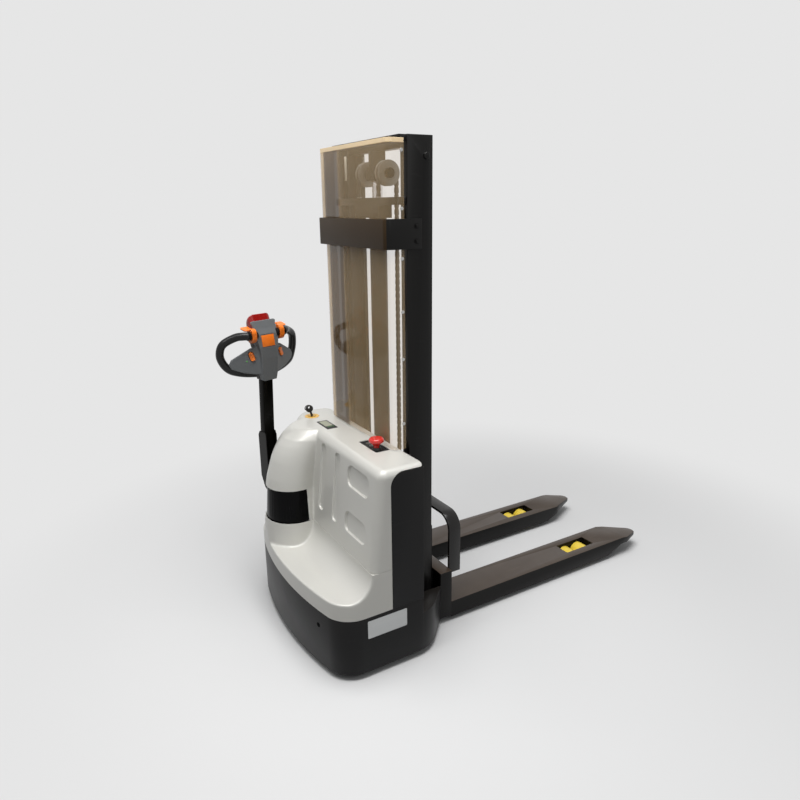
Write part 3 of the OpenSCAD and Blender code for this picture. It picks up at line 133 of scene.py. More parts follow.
class Workshop:
    """Modelling steps, each done with Blender's own operators."""

    @staticmethod
    def take(*pieces: Piece) -> None:
        """Select the given pieces alone, the first one active."""
        if bpy.context.mode != "OBJECT":
            bpy.ops.object.mode_set(mode="OBJECT")
        bpy.ops.object.select_all(action="DESELECT")
        for piece in pieces:
            piece.select_set(True)
        bpy.context.view_layer.objects.active = pieces[0]

    @staticmethod
    def settle(piece: Piece) -> Piece:
        """Move a piece's place, turn and scale into its mesh."""
        Workshop.take(piece)
        bpy.ops.object.transform_apply(location=True, rotation=True, scale=True)
        return piece

    @staticmethod
    def block(name: str, low: Sequence[float], high: Sequence[float]) -> Piece:
        """Add a block between two corners."""
        low_corner, high_corner = Vector(low), Vector(high)
        bpy.ops.mesh.primitive_cube_add(size=1.0, location=(low_corner + high_corner) / 2)
        piece = bpy.context.active_object
        piece.name = name
        piece.scale = high_corner - low_corner
        return Workshop.settle(piece)

    @staticmethod
    def slab(
        name: str, low: Sequence[float], high: Sequence[float], axis: str, corner: float, segments: int
    ) -> Piece:
        """Add a block whose edges along one axis are rounded.

        Args:
            name: Name of the new piece.
            low: Its low corner.
            high: Its high corner.
            axis: The axis, x, y or z.
            corner: Radius of the rounding.
            segments: Number of faces round each corner.

        Returns:
            The new piece.
        """
        piece = Workshop.block(name, low, high)
        k = "xyz".index(axis)
        Workshop.round_edges(piece, lambda a, b: abs(a[k] - b[k]) > NEAR, corner, segments)
        return piece

    @staticmethod
    def cone(
        name: str, start: Sequence[float], end: Sequence[float], first: float, last: float, sides: int = 48
    ) -> Piece:
        """Add a round bar or cone between two points.

        Args:
            name: Name of the new piece.
            start: Middle of its first end.
            end: Middle of its last end.
            first: Radius at the first end.
            last: Radius at the last end.
            sides: Number of sides.

        Returns:
            The new piece.
        """
        foot, tip = Vector(start), Vector(end)
        turn = (tip - foot).to_track_quat("Z", "Y").to_euler()
        bpy.ops.mesh.primitive_cone_add(
            vertices=sides,
            radius1=first,
            radius2=last,
            depth=(tip - foot).length,
            location=(foot + tip) / 2,
            rotation=turn,
        )
        piece = bpy.context.active_object
        piece.name = name
        return Workshop.settle(piece)

    @staticmethod
    def bar(name: str, start: Sequence[float], end: Sequence[float], radius: float, sides: int = 32) -> Piece:
        """Add a round bar between two points."""
        return Workshop.cone(name, start, end, radius, radius, sides)

    @staticmethod
    def join(pieces: Sequence[Piece], name: str) -> Piece:
        """Make several pieces one object."""
        Workshop.take(*pieces)
        if len(pieces) > 1:
            bpy.ops.object.join()
        piece = bpy.context.view_layer.objects.active
        piece.name = name
        return piece

    @staticmethod
    def duplicate(piece: Piece, place: Matrix) -> Piece:
        """Copy a piece with a mesh of its own to another place."""
        Workshop.take(piece)
        bpy.ops.object.duplicate(linked=False)
        copy = bpy.context.active_object
        copy.matrix_world = place @ piece.matrix_world
        return Workshop.settle(copy)

    @staticmethod
    def edit(piece: Piece, kind: str = "FACE", action: str = "SELECT") -> None:
        """Enter edit mode with everything of one kind selected, or nothing."""
        Workshop.take(piece)
        bpy.ops.object.mode_set(mode="EDIT")
        bpy.ops.mesh.select_mode(type=kind)
        bpy.ops.mesh.select_all(action=action)

    @staticmethod
    def views(mesh: bmesh.types.BMesh, kind: str) -> Iterator[tuple]:
        """Yield each part of a kind with the places that a test is told."""
        if kind == "VERT":
            yield from ((vertex, (vertex.co,)) for vertex in mesh.verts)
        elif kind == "EDGE":
            yield from ((edge, (edge.verts[0].co, edge.verts[1].co)) for edge in mesh.edges)
        else:
            yield from ((face, (face.calc_center_median(), face.normal)) for face in mesh.faces)

    @staticmethod
    def pick(piece: Piece, kind: str, wanted: Test) -> int:
        """Enter edit mode with the points, edges or faces selected that pass a test.

        Args:
            piece: The piece to edit.
            kind: VERT, EDGE or FACE.
            wanted: Test of a point's place, an edge's two ends or a face's middle and normal.

        Returns:
            The number of selected parts.
        """
        Workshop.edit(piece, kind, "DESELECT")
        count = 0
        for part, places in Workshop.views(bmesh.from_edit_mesh(piece.data), kind):
            chosen = wanted(*places)
            part.select_set(chosen)
            count += chosen
        bmesh.update_edit_mesh(piece.data)
        return count

    @staticmethod
    def done() -> None:
        """Leave edit mode."""
        bpy.ops.object.mode_set(mode="OBJECT")

    @staticmethod
    def round_edges(piece: Piece, wanted: Test, width: float, segments: int = 6) -> None:
        """Round the edges whose ends pass a test."""
        Workshop.pick(piece, "EDGE", wanted)
        bpy.ops.mesh.bevel(offset=width, segments=segments, profile=0.5, affect="EDGES")
        Workshop.done()

    @staticmethod
    def open_faces(piece: Piece, wanted: Test) -> None:
        """Delete the faces whose middle and normal pass a test."""
        if Workshop.pick(piece, "FACE", wanted):
            bpy.ops.mesh.delete(type="FACE")
        Workshop.done()

    @staticmethod
    def extrude(piece: Piece, wanted: Test, step: Point, scale: Point, pivot: Point) -> None:
        """Pull out the faces that pass a test, and scale them round a point."""
        Workshop.pick(piece, "FACE", wanted)
        bpy.ops.mesh.extrude_region_move(TRANSFORM_OT_translate={"value": step})
        bpy.ops.transform.resize(value=scale, center_override=pivot)
        Workshop.done()

    @staticmethod
    def slice(piece: Piece, place: Sequence[float], normal: Sequence[float]) -> None:
        """Cut away what lies on the normal's side of a plane, and close the cut."""
        Workshop.edit(piece)
        bpy.ops.mesh.bisect(plane_co=place, plane_no=normal, clear_outer=True, use_fill=True)
        Workshop.done()

    @staticmethod
    def modify(piece: Piece, kind: str, **settings: object) -> Piece:
        """Add a modifier with its settings and apply it."""
        modifier = piece.modifiers.new(kind.title(), kind)
        for key, value in settings.items():
            setattr(modifier, key, value)
        Workshop.take(piece)
        bpy.ops.object.modifier_apply(modifier=modifier.name)
        return piece

    @staticmethod
    def work(piece: Piece, tool: Piece, how: Combine = Combine.CUT, solver: str = "MANIFOLD") -> Piece:
        """Cut, join or keep with a tool solid, which is then removed."""
        Workshop.modify(piece, "BOOLEAN", operation=how.value, object=tool, solver=solver)
        bpy.data.objects.remove(tool)
        return piece

    @staticmethod
    def mould(piece: Piece, grain: float, passes: int, share: float) -> Piece:
        """Give a solid the soft rims of a moulding.

        Args:
            piece: A closed solid.
            grain: Size of the cells it is remeshed to.
            passes: Rounds of smoothing.
            share: Share of the faces that stays.

        Returns:
            The same piece.
        """
        Workshop.modify(piece, "REMESH", mode="VOXEL", voxel_size=grain, adaptivity=0.0)
        Workshop.modify(piece, "SMOOTH", factor=0.5, iterations=passes)
        return Workshop.thin_out(piece, share)

    @staticmethod
    def thin_out(piece: Piece, share: float) -> Piece:
        """Keep a share of a piece's faces, fewer where it is flat."""
        if share < 1.0:
            Workshop.modify(piece, "DECIMATE", decimate_type="COLLAPSE", ratio=share)
        return piece

    @staticmethod
    def smooth(piece: Piece, angle: float = STEEL_ANGLE) -> Piece:
        """Shade a piece smooth up to an angle between its faces."""
        Workshop.take(piece)
        bpy.ops.object.shade_smooth_by_angle(angle=math.radians(angle))
        return piece

    @staticmethod
    def soften(piece: Piece, width: float, segments: int = 2) -> Piece:
        """Round every sharp edge a little."""
        limits = {"limit_method": "ANGLE", "angle_limit": SHARP, "use_clamp_overlap": True}
        return Workshop.modify(
            piece, "BEVEL", width=width, segments=segments, miter_outer="MITER_ARC", **limits
        )

    @staticmethod
    def tube(name: str, route: Sequence[Sequence[float]], radius: float, around: int = 5) -> Piece:
        """Sweep a round tube through the points of a route."""
        data = bpy.data.curves.new(name, "CURVE")
        data.dimensions = "3D"
        data.bevel_depth = radius
        data.bevel_resolution = around
        data.use_fill_caps = True
        spline = data.splines.new("POLY")
        spline.points.add(len(route) - 1)
        for point, place in zip(spline.points, route):
            point.co = (*place, 1.0)
        piece = bpy.data.objects.new(name, data)
        bpy.context.scene.collection.objects.link(piece)
        Workshop.take(piece)
        bpy.ops.object.convert(target="MESH")
        return bpy.context.active_object

    @staticmethod
    def curve_through(route: Sequence[Sequence[float]], steps: int) -> list[Vector]:
        """Smooth a route by adding steps between its points."""
        spots = [Vector(p) for p in route]
        smooth: list[Vector] = []
        for i in range(len(spots) - 1):
            a, b = spots[max(i - 1, 0)], spots[i]
            c, d = spots[i + 1], spots[min(i + 2, len(spots) - 1)]
            for k in range(steps):
                u = k / steps
                bend, twist = 2 * a - 5 * b + 4 * c - d, 3 * b - a - 3 * c + d
                smooth.append(0.5 * (2 * b + (c - a) * u + bend * u**2 + twist * u**3))
        return [*smooth, spots[-1]]


def feed(node: bpy.types.Node, inputs: dict) -> bpy.types.Node:
    """Link or set a shader node's inputs, each by a socket or a value."""
    for key, value in inputs.items():
        if isinstance(value, Socket):
            node.id_data.links.new(value, node.inputs[key])
        else:
            node.inputs[key].default_value = value
    return node


def add_node(tree: Tree, kind: str, inputs: dict | None = None, **settings: object) -> bpy.types.Node:
    """Add a shader node, set it up and feed its inputs.

    Args:
        tree: Nodes of a material, a group or the world.
        kind: Type of the node, without Blender's prefix.
        inputs: A socket or a value for each input.
        settings: Values of the node's own properties.

    Returns:
        The new node.
    """
    node = tree.nodes.new(f"ShaderNode{kind}")
    for name, value in settings.items():
        setattr(node, name, value)
    return feed(node, inputs or {})


def maths(tree: Tree, operation: str, first: Socket | float, second: Socket | float) -> Socket:
    """Work out one value from two."""
    return add_node(tree, "Math", {0: first, 1: second}, operation=operation).outputs[0]


def blend(tree: Tree, share: Socket, first: object, second: object, kind: str = "RGBA") -> Socket:
    """Mix two colours or two values by a share."""
    inputs = {"Factor": share, "A": first, "B": second}
    return add_node(tree, "Mix", inputs, data_type=kind).outputs["Result"]


def ramp(tree: Tree, value: Socket, start: float, end: float, **settings: object) -> Socket:
    """Rise from 0 to 1 while a value goes from start to end."""
    inputs = {"Value": value, "From Min": start, "From Max": end}
    return add_node(tree, "MapRange", inputs, **settings).outputs["Result"]


class Effect(Enum):
    """Surface effects shared by the materials."""

    TONE = "Tone drift"
    GRAIN = "Fine grain"
    SMUDGE = "Smudged gloss"
    DUST = "Settled dust"
    SCUFF = "Fine scuffs"


class EffectGroups:
    """Builds each shared effect once, as a shader node group."""

    def __init__(self) -> None:
        """Start with no group built."""
        self.built: dict[Effect, Tree] = {}
        self.makers: dict[Effect, Callable[[Tree], None]] = {
            Effect.TONE: self.tone,
            Effect.GRAIN: self.grain,
            Effect.SMUDGE: self.smudge,
            Effect.DUST: self.dust,
            Effect.SCUFF: self.scuff,
        }

    def place(self, effect: Effect, tree: Tree, inputs: dict) -> Socket:
        """Place an effect's group in a material and return what it puts out."""
        if effect not in self.built:
            self.built[effect] = bpy.data.node_groups.new(effect.value, "ShaderNodeTree")
            self.makers[effect](self.built[effect])
        return add_node(tree, "Group", inputs, node_tree=self.built[effect]).outputs[0]

    @staticmethod
    def ends(group: Tree, output: str, colours: Sequence[str] = (), values: Sequence[str] = ()) -> tuple:
        """Add a group's named sockets.

        Args:
            group: The group.
            output: Name of its output, Colour for a colour.
            colours: Names of its colour inputs.
            values: Names of its value inputs.

        Returns:
            The sockets that bring its inputs, and those that take its output.
        """
        kinds = {"Vector": "Vector", **dict.fromkeys(colours, "Color"), **dict.fromkeys(values, "Float")}
        for name, kind in kinds.items():
            group.interface.new_socket(name, in_out="INPUT", socket_type=f"NodeSocket{kind}")
        kind = "Color" if output == "Colour" else "Float"
        group.interface.new_socket(output, in_out="OUTPUT", socket_type=f"NodeSocket{kind}")
        return group.nodes.new("NodeGroupInput").outputs, group.nodes.new("NodeGroupOutput")

    @staticmethod
    def noise(group: Tree, vector: Socket, scale: Socket | float, detail: float) -> Socket:
        """Add a noise texture fed by a vector and a scale."""
        inputs = {"Vector": vector, "Scale": scale, "Detail": detail}
        return add_node(group, "TexNoise", inputs).outputs["Fac"]

    def swing(self, group: Tree, given: dict, detail: float, base: Socket | float) -> Socket:
        """Let a noise swing round a base value by the given amount."""
        noise = self.noise(group, given["Vector"], given["Scale"], detail)
        spread = maths(group, "MULTIPLY", maths(group, "SUBTRACT", noise, 0.5), given["Amount"])
        return maths(group, "ADD", spread, base)

    def tone(self, group: Tree) -> None:
        """Let a colour drift a little lighter and darker over the surface."""
        given, sink = self.ends(group, "Colour", ["Colour"], ["Amount", "Scale"])
        level = self.swing(group, given, 3.0, 1.0)
        scaled = add_node(group, "VectorMath", {0: given["Colour"], "Scale": level}, operation="SCALE")
        feed(sink, {"Colour": scaled.outputs[0]})

    def grain(self, group: Tree) -> None:
        """Give the height of a fine pebbled or orange-peel skin."""
        given, sink = self.ends(group, "Height", values=["Scale"])
        feed(sink, {"Height": self.noise(group, given["Vector"], given["Scale"], 2.0)})

    def smudge(self, group: Tree) -> None:
        """Vary the roughness in soft patches, as handling does."""
        given, sink = self.ends(group, "Roughness", values=["Base", "Amount", "Scale"])
        feed(sink, {"Roughness": self.swing(group, given, 4.0, given["Base"])})

    def dust(self, group: Tree) -> None:
        """Lay a thin veil of dust on faces that look up."""
        given, sink = self.ends(group, "Colour", ["Colour", "Dust"], ["Amount"])
        normal = add_node(group, "NewGeometry").outputs["Normal"]
        parts = add_node(group, "SeparateXYZ", {0: normal})
        upward = maths(group, "MAXIMUM", parts.outputs["Z"], 0.0)
        patchy = maths(group, "MULTIPLY", self.noise(group, given["Vector"], 14.0, 6.0), upward)
        mask = maths(group, "MULTIPLY", patchy, given["Amount"])
        feed(sink, {"Colour": blend(group, mask, given["Colour"], given["Dust"])})

    def scuff(self, group: Tree) -> None:
        """Draw thin, short scuffs where a stretched noise peaks."""
        given, sink = self.ends(group, "Colour", ["Colour", "Bare"], ["Amount", "Scale"])
        stretch = {0: given["Vector"], 1: (1.0, 0.16, 1.0)}
        drawn = add_node(group, "VectorMath", stretch, operation="MULTIPLY").outputs[0]
        peak = ramp(group, self.noise(group, drawn, given["Scale"], 5.0), 0.62, 0.70)
        mask = maths(group, "MULTIPLY", peak, given["Amount"])
        feed(sink, {"Colour": blend(group, mask, given["Colour"], given["Bare"])})


@dataclass(frozen=True)
class Finish:
    """A surface finish and the record's slot that it stands for.

    Scales count features per metre, and the skin's depth is in metres.
    """

    name: str
    slot: str
    colour: Colour
    roughness: float
    metallic: float = 0.0
    specular: float = 0.5
    coat: float = 0.0
    coat_roughness: float = 0.08
    drift: float = 0.08
    drift_scale: float = 5.0
    skin_scale: float = 700.0
    skin_depth: float = 0.00002
    smudge: float = 0.10
    smudge_scale: float = 9.0
    dust: float = 0.0
    dust_colour: Colour = linear(176, 160, 140)
    scuffs: float = 0.0
    scuff_scale: float = 60.0
    brushed: Point = (1.0, 1.0, 1.0)
    clear: float = 1.0
    edge_veil: float = 0.3
    tinted_bands: tuple = ()

    def material(self, effects: EffectGroups) -> bpy.types.Material:
        """Build the finish as a procedural material."""
        made = bpy.data.materials.new(self.name)
        made.use_nodes = True
        tree = made.node_tree
        shader = tree.nodes["Principled BSDF"]
        where = add_node(tree, "TexCoord").outputs["Object"]
        spot = add_node(tree, "Mapping", {"Vector": where, "Scale": self.brushed}).outputs["Vector"]
        colour = self.tinted(tree, effects, spot)
        smudge = {"Vector": spot, "Base": self.roughness, "Amount": self.smudge, "Scale": self.smudge_scale}
        feed(shader, {
            "Base Color": colour,
            "Roughness": effects.place(Effect.SMUDGE, tree, smudge),
            "Metallic": self.metallic,
            "Specular IOR Level": self.specular,
            "Coat Weight": self.coat,
            "Coat Roughness": self.coat_roughness,
        })
        if self.skin_depth > 0:
            height = effects.place(Effect.GRAIN, tree, {"Vector": spot, "Scale": self.skin_scale})
            bump = add_node(tree, "Bump", {"Distance": self.skin_depth, "Height": height})
            feed(shader, {"Normal": bump.outputs["Normal"]})
        if self.clear < 1.0:
            self.see_through(tree, shader, where, colour)
            made.surface_render_method = "BLENDED"
        return made

    def tinted(self, tree: Tree, effects: EffectGroups, spot: Socket) -> Socket:
        """Chain the colour effects and return the last colour."""
        tone = {"Colour": (*self.colour, 1.0), "Amount": self.drift * 2, "Scale": self.drift_scale}
        colour = effects.place(Effect.TONE, tree, {"Vector": spot, **tone})
        if self.scuffs > 0:
            bare = (*(min(1.0, c * 2.2 + 0.03) for c in self.colour), 1.0)
            scuff = {"Bare": bare, "Amount": self.scuffs, "Scale": self.scuff_scale}
            colour = effects.place(Effect.SCUFF, tree, {"Vector": spot, "Colour": colour, **scuff})
        if self.dust > 0:
            dust = {"Dust": (*self.dust_colour, 1.0), "Amount": self.dust}
            colour = effects.place(Effect.DUST, tree, {"Vector": spot, "Colour": colour, **dust})
        return colour

    def see_through(self, tree: Tree, shader: bpy.types.Node, where: Socket, colour: Socket) -> None:
        """Let light through a clear sheet, less so at its edges, in its tinted bands and at a low angle.

        Args:
            tree: Nodes of the material.
            shader: Its shader.
            where: The place on the object.
            colour: The sheet's own colour.
        """
        facing = add_node(tree, "LayerWeight", {"Blend": 0.25}).outputs["Facing"]
        rise = {"Value": facing, "To Min": self.clear, "To Max": min(1.0, self.clear + self.edge_veil)}
        alpha = add_node(tree, "MapRange", rise).outputs["Result"]
        parts = add_node(tree, "SeparateXYZ", {0: where})
        for axis, start, end, tint, veil in self.tinted_bands:
            mask = ramp(tree, parts.outputs[axis], start, end)
            colour = blend(tree, mask, colour, (*tint, 1.0))
            alpha = blend(tree, mask, alpha, veil, "FLOAT")
        feed(shader, {"Base Color": colour, "Alpha": alpha})


class Finishes(Enum):
    """Every finish on the machine."""

    SILVER = Finish("silver_moulding", "silver_cover", linear(210, 209, 203), 0.38, metallic=0.12, coat=0.22,
                    drift=0.025, skin_scale=1500, skin_depth=0.00001, smudge=0.08, dust=0.04)
    POWDER = Finish("black_powder_coat", "black_steel", linear(18, 18, 19), 0.36, specular=0.18, drift=0.10,
                    skin_scale=520, skin_depth=0.00004, smudge=0.12, dust=0.05, scuffs=0.06)
    MAST = Finish("black_mast_paint", "mast_black", linear(16, 15, 14), 0.34, specular=0.18, drift=0.10,
                  skin_scale=430, skin_depth=0.00004, smudge=0.14, scuffs=0.08)
    # Brown on the up-facing faces of forks and legs is painted light; their other faces get the mast's black.
    FORK = Finish("fork_paint_painted_light", "black_steel", linear(62, 51, 43), 0.32, specular=0.25, drift=0.12,
                  skin_scale=400, skin_depth=0.00005, smudge=0.14, dust=0.07, scuffs=0.12, scuff_scale=34)
    HOOP = Finish("black_hoop_paint", "black_steel", linear(17, 15, 13), 0.24, specular=0.25, coat=0.2,
                  drift=0.10, skin_scale=400, skin_depth=0.00004, smudge=0.12, scuffs=0.06)
    # Brown on the bracket's rear band is painted reflection of light; its flanges get the mast's black.
    BRACKET = Finish("bracket_painted_reflection", "mast_black", linear(58, 45, 30), 0.36, specular=0.10,
                     skin_scale=430, skin_depth=0.00004, smudge=0.14)
    CLEAR = Finish("clear_guard_sheet", "clear_guard", linear(255, 222, 172), 0.06, specular=0.35,
                   drift=0.05, drift_scale=3.0, skin_depth=0.0, smudge=0.04, clear=0.12, edge_veil=0.14,
                   # Bands along X and Z where the sheet takes a tan or pale tint and lets less light through.
                   tinted_bands=(("X", -0.088, -0.108, linear(112, 90, 62), 0.74),
                           ("X", -0.218, -0.228, linear(240, 212, 168), 0.42),
                           ("Z", 1.872, 1.875, linear(244, 218, 176), 0.85)))
    STEEL = Finish("bright_steel", "bright_steel", linear(176, 176, 174), 0.30, metallic=1.0, drift=0.06,
                   skin_scale=300, smudge=0.16)
    CHROME = Finish("hard_chrome", "chrome_rod", linear(214, 214, 216), 0.10, metallic=1.0, drift=0.02,
                    skin_depth=0.0, smudge=0.04)
    CHAIN = Finish("oiled_chain", "chain_steel", linear(92, 88, 84), 0.36, metallic=0.9, drift=0.20,
                   drift_scale=40, skin_scale=900, skin_depth=0.00003, smudge=0.2)
    NYLON = Finish("white_nylon", "pad_nylon", linear(226, 224, 212), 0.45, drift=0.05)
    BATTERY = Finish("battery_case", "battery_case", linear(58, 58, 62), 0.5)
    UNIT = Finish("pump_paint", "unit_black", linear(60, 60, 62), 0.42, metallic=0.2, drift=0.1)
    CONTROLLER = Finish("cast_aluminium", "controller_alu", linear(150, 152, 154), 0.5, metallic=0.9)
    CASTING = Finish("grey_casting", "cast_grey", linear(104, 105, 107), 0.55, metallic=0.6, drift=0.16,
                     skin_scale=260, skin_depth=0.0001)
    PANEL = Finish("black_panel", "panel_black", linear(30, 30, 31), 0.5, drift=0.06, skin_scale=1300,
                   skin_depth=0.00003)
    BRASS = Finish("brass_ring", "brass", linear(214, 170, 76), 0.26, metallic=0.9, drift=0.06)
    KEY = Finish("black_key", "key_black", linear(26, 26, 27), 0.3, drift=0.06)
    RED = Finish("red_gloss", "red", linear(212, 38, 30), 0.2, coat=0.4, drift=0.05, skin_depth=0.00001)
    TREAD = Finish("wheel_rubber", "wheel_tread", linear(52, 50, 48), 0.7, drift=0.14, skin_scale=380,
                   skin_depth=0.00008, dust=0.3)
    YELLOW = Finish("yellow_polyurethane", "roller_yellow", linear(238, 208, 74), 0.34, drift_scale=20,
                    skin_scale=500, scuffs=0.12)
    ARM = Finish("black_arm_enamel", "mast_black", linear(5, 4, 3), 0.25, specular=0.08, drift=0.06,
                 skin_scale=500)
    CROWN = Finish("red_crown_gloss", "red", linear(150, 14, 11), 0.20, coat=0.22, drift=0.10,
                   drift_scale=16, skin_depth=0.0)
    BAND = Finish("black_gloss_band", "gloss_black", linear(4, 4, 5), 0.10, specular=0.05, coat=0.06,
                  drift=0.04, skin_depth=0.000004, smudge=0.04)
    HEAD = Finish("grey_moulding", "head_grey", linear(104, 107, 109), 0.44, specular=0.35, drift=0.06,
                  skin_scale=1500, skin_depth=0.00003)
    SHELL = Finish("black_moulding", "head_black", linear(18, 17, 17), 0.38, specular=0.22, drift=0.06,
                   skin_scale=1500, skin_depth=0.00003)
    GRIP = Finish("grip_rubber", "grip", linear(15, 15, 16), 0.28, specular=0.3, skin_scale=1100,
                  skin_depth=0.00003)
    ORANGE = Finish("orange_moulding", "orange", linear(242, 122, 30), 0.32, coat=0.10, drift=0.05,
                    skin_scale=1400)
    PLATE = Finish("bare_plate", "bright_steel", linear(196, 198, 198), 0.42, metallic=0.5, drift=0.04,
                   brushed=(0.15, 0.15, 8.0), skin_scale=220)
    # Near-black for painted shade: a disc stands in for the dark inside of a hole.
    PIT = Finish("painted_hole_shade", "black_steel", linear(2, 2, 2), 0.7, specular=0.02, drift=0.02, skin_depth=0.0)
    PULLEY = Finish("turned_pulley", "bright_steel", linear(128, 126, 121), 0.36, metallic=0.7,
                    skin_scale=300, smudge=0.16)
    BEZEL = Finish("yellow_bezel", "brass", linear(232, 184, 88), 0.34, drift=0.05, skin_depth=0.00001)
    SCREEN = Finish("display_glass", "panel_black", linear(140, 142, 112), 0.12, coat=0.5, drift=0.1,
                    skin_depth=0.0)
    LAMP = Finish("green_lamp", "panel_black", linear(96, 176, 84), 0.2, coat=0.4, drift=0.05, skin_depth=0.0)


@dataclass
class Depot:
    """Holds the frame and hands finished pieces over to it."""

    frame: dict
    effects: EffectGroups = field(default_factory=EffectGroups)
    materials: dict[Finishes, bpy.types.Material] = field(default_factory=dict)
    count: int = 0

    def material(self, finish: Finishes) -> bpy.types.Material:
        """Return the material of a finish, building it the first time."""
        if finish not in self.materials:
            self.materials[finish] = finish.value.material(self.effects)
        return self.materials[finish]

    def paint(self, piece: Piece, name: str, finish: Finishes) -> None:
        """Name a piece and give the whole of it one finish."""
        piece.name = name
        piece.data.materials.clear()
        piece.data.materials.append(self.material(finish))
        for face in piece.data.polygons:
            face.material_index = 0

    def deliver(
        self, piece: Piece, name: str, body: str, finish: Finishes,
        nodes: Sequence[str] = (), angle: float = STEEL_ANGLE,
    ) -> Piece:
        """Shade and paint a finished piece and make it ride on its body.

        Args:
            piece: The piece, in place.
            name: Its name.
            body: The body that carries it.
            finish: Its finish.
            nodes: The frame's nodes that it stands for.
            angle: Angle between faces up to which it is shaded smooth.

        Returns:
            The same piece.
        """
        Workshop.smooth(piece, angle)
        self.paint(piece, name, finish)
        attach(piece, body)
        if nodes:
            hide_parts(*nodes)
        self.count += 1
        log.info("%-28s %6d faces on %s", name, len(piece.data.polygons), body)
        return piece

    def body_of(self, node: str) -> str:
        """Return the body that a node of the frame belongs to."""
        groups = self.frame["record"]["behaviour"]["bodies"]
        return next(body for body, members in groups.items() if node in members)

    def copy_of(self, node: str) -> Piece:
        """Copy a node's mesh, merged and with its flat faces whole."""
        mesh = self.frame["nodes"][node].data.copy()
        mesh.materials.clear()
        piece = bpy.data.objects.new(node + "_copy", mesh)
        bpy.context.scene.collection.objects.link(piece)
        Workshop.take(piece)
        bpy.ops.object.mode_set(mode="EDIT")
        bpy.ops.mesh.select_all(action="SELECT")
        bpy.ops.mesh.remove_doubles(threshold=0.00002)
        bpy.ops.mesh.dissolve_limited(angle_limit=math.radians(0.4))
        bpy.ops.mesh.select_all(action="SELECT")
        bpy.ops.mesh.vert_connect_concave()
        Workshop.done()
        return piece

    def take_over(
        self, node: str, finish: Finishes, size: float = 0.0012, treatment: Treatment = Treatment.MACHINED
    ) -> Piece:
        """Take a node over with edges as its making leaves them.

        Args:
            node: Name of the node.
            finish: Its finish.
            size: Edge width of a machined or folded part, or cell size of a moulding.
            treatment: How it is made.

        Returns:
            The piece on show.
        """
        piece, angle = self.copy_of(node), STEEL_ANGLE
        if treatment is Treatment.MOULDED:
            Workshop.mould(piece, size, 6, 0.5)
            angle = MOULD_ANGLE
        else:
            Workshop.soften(piece, size, treatment.value)
        return self.deliver(piece, node + "_finished", self.body_of(node), finish, [node], angle)


def on_tiller(piece: Piece, back: bool = False) -> Piece:
    """Turn a piece drawn beside the upright tiller to its place, or back from there."""
    place = Matrix.Translation((STEERING_X, STEERING_Y, 0)) @ Matrix.Rotation(TILLER_HEADING, 4, "Z")
    piece.matrix_world = place.inverted() if back else place
    return Workshop.settle(piece)


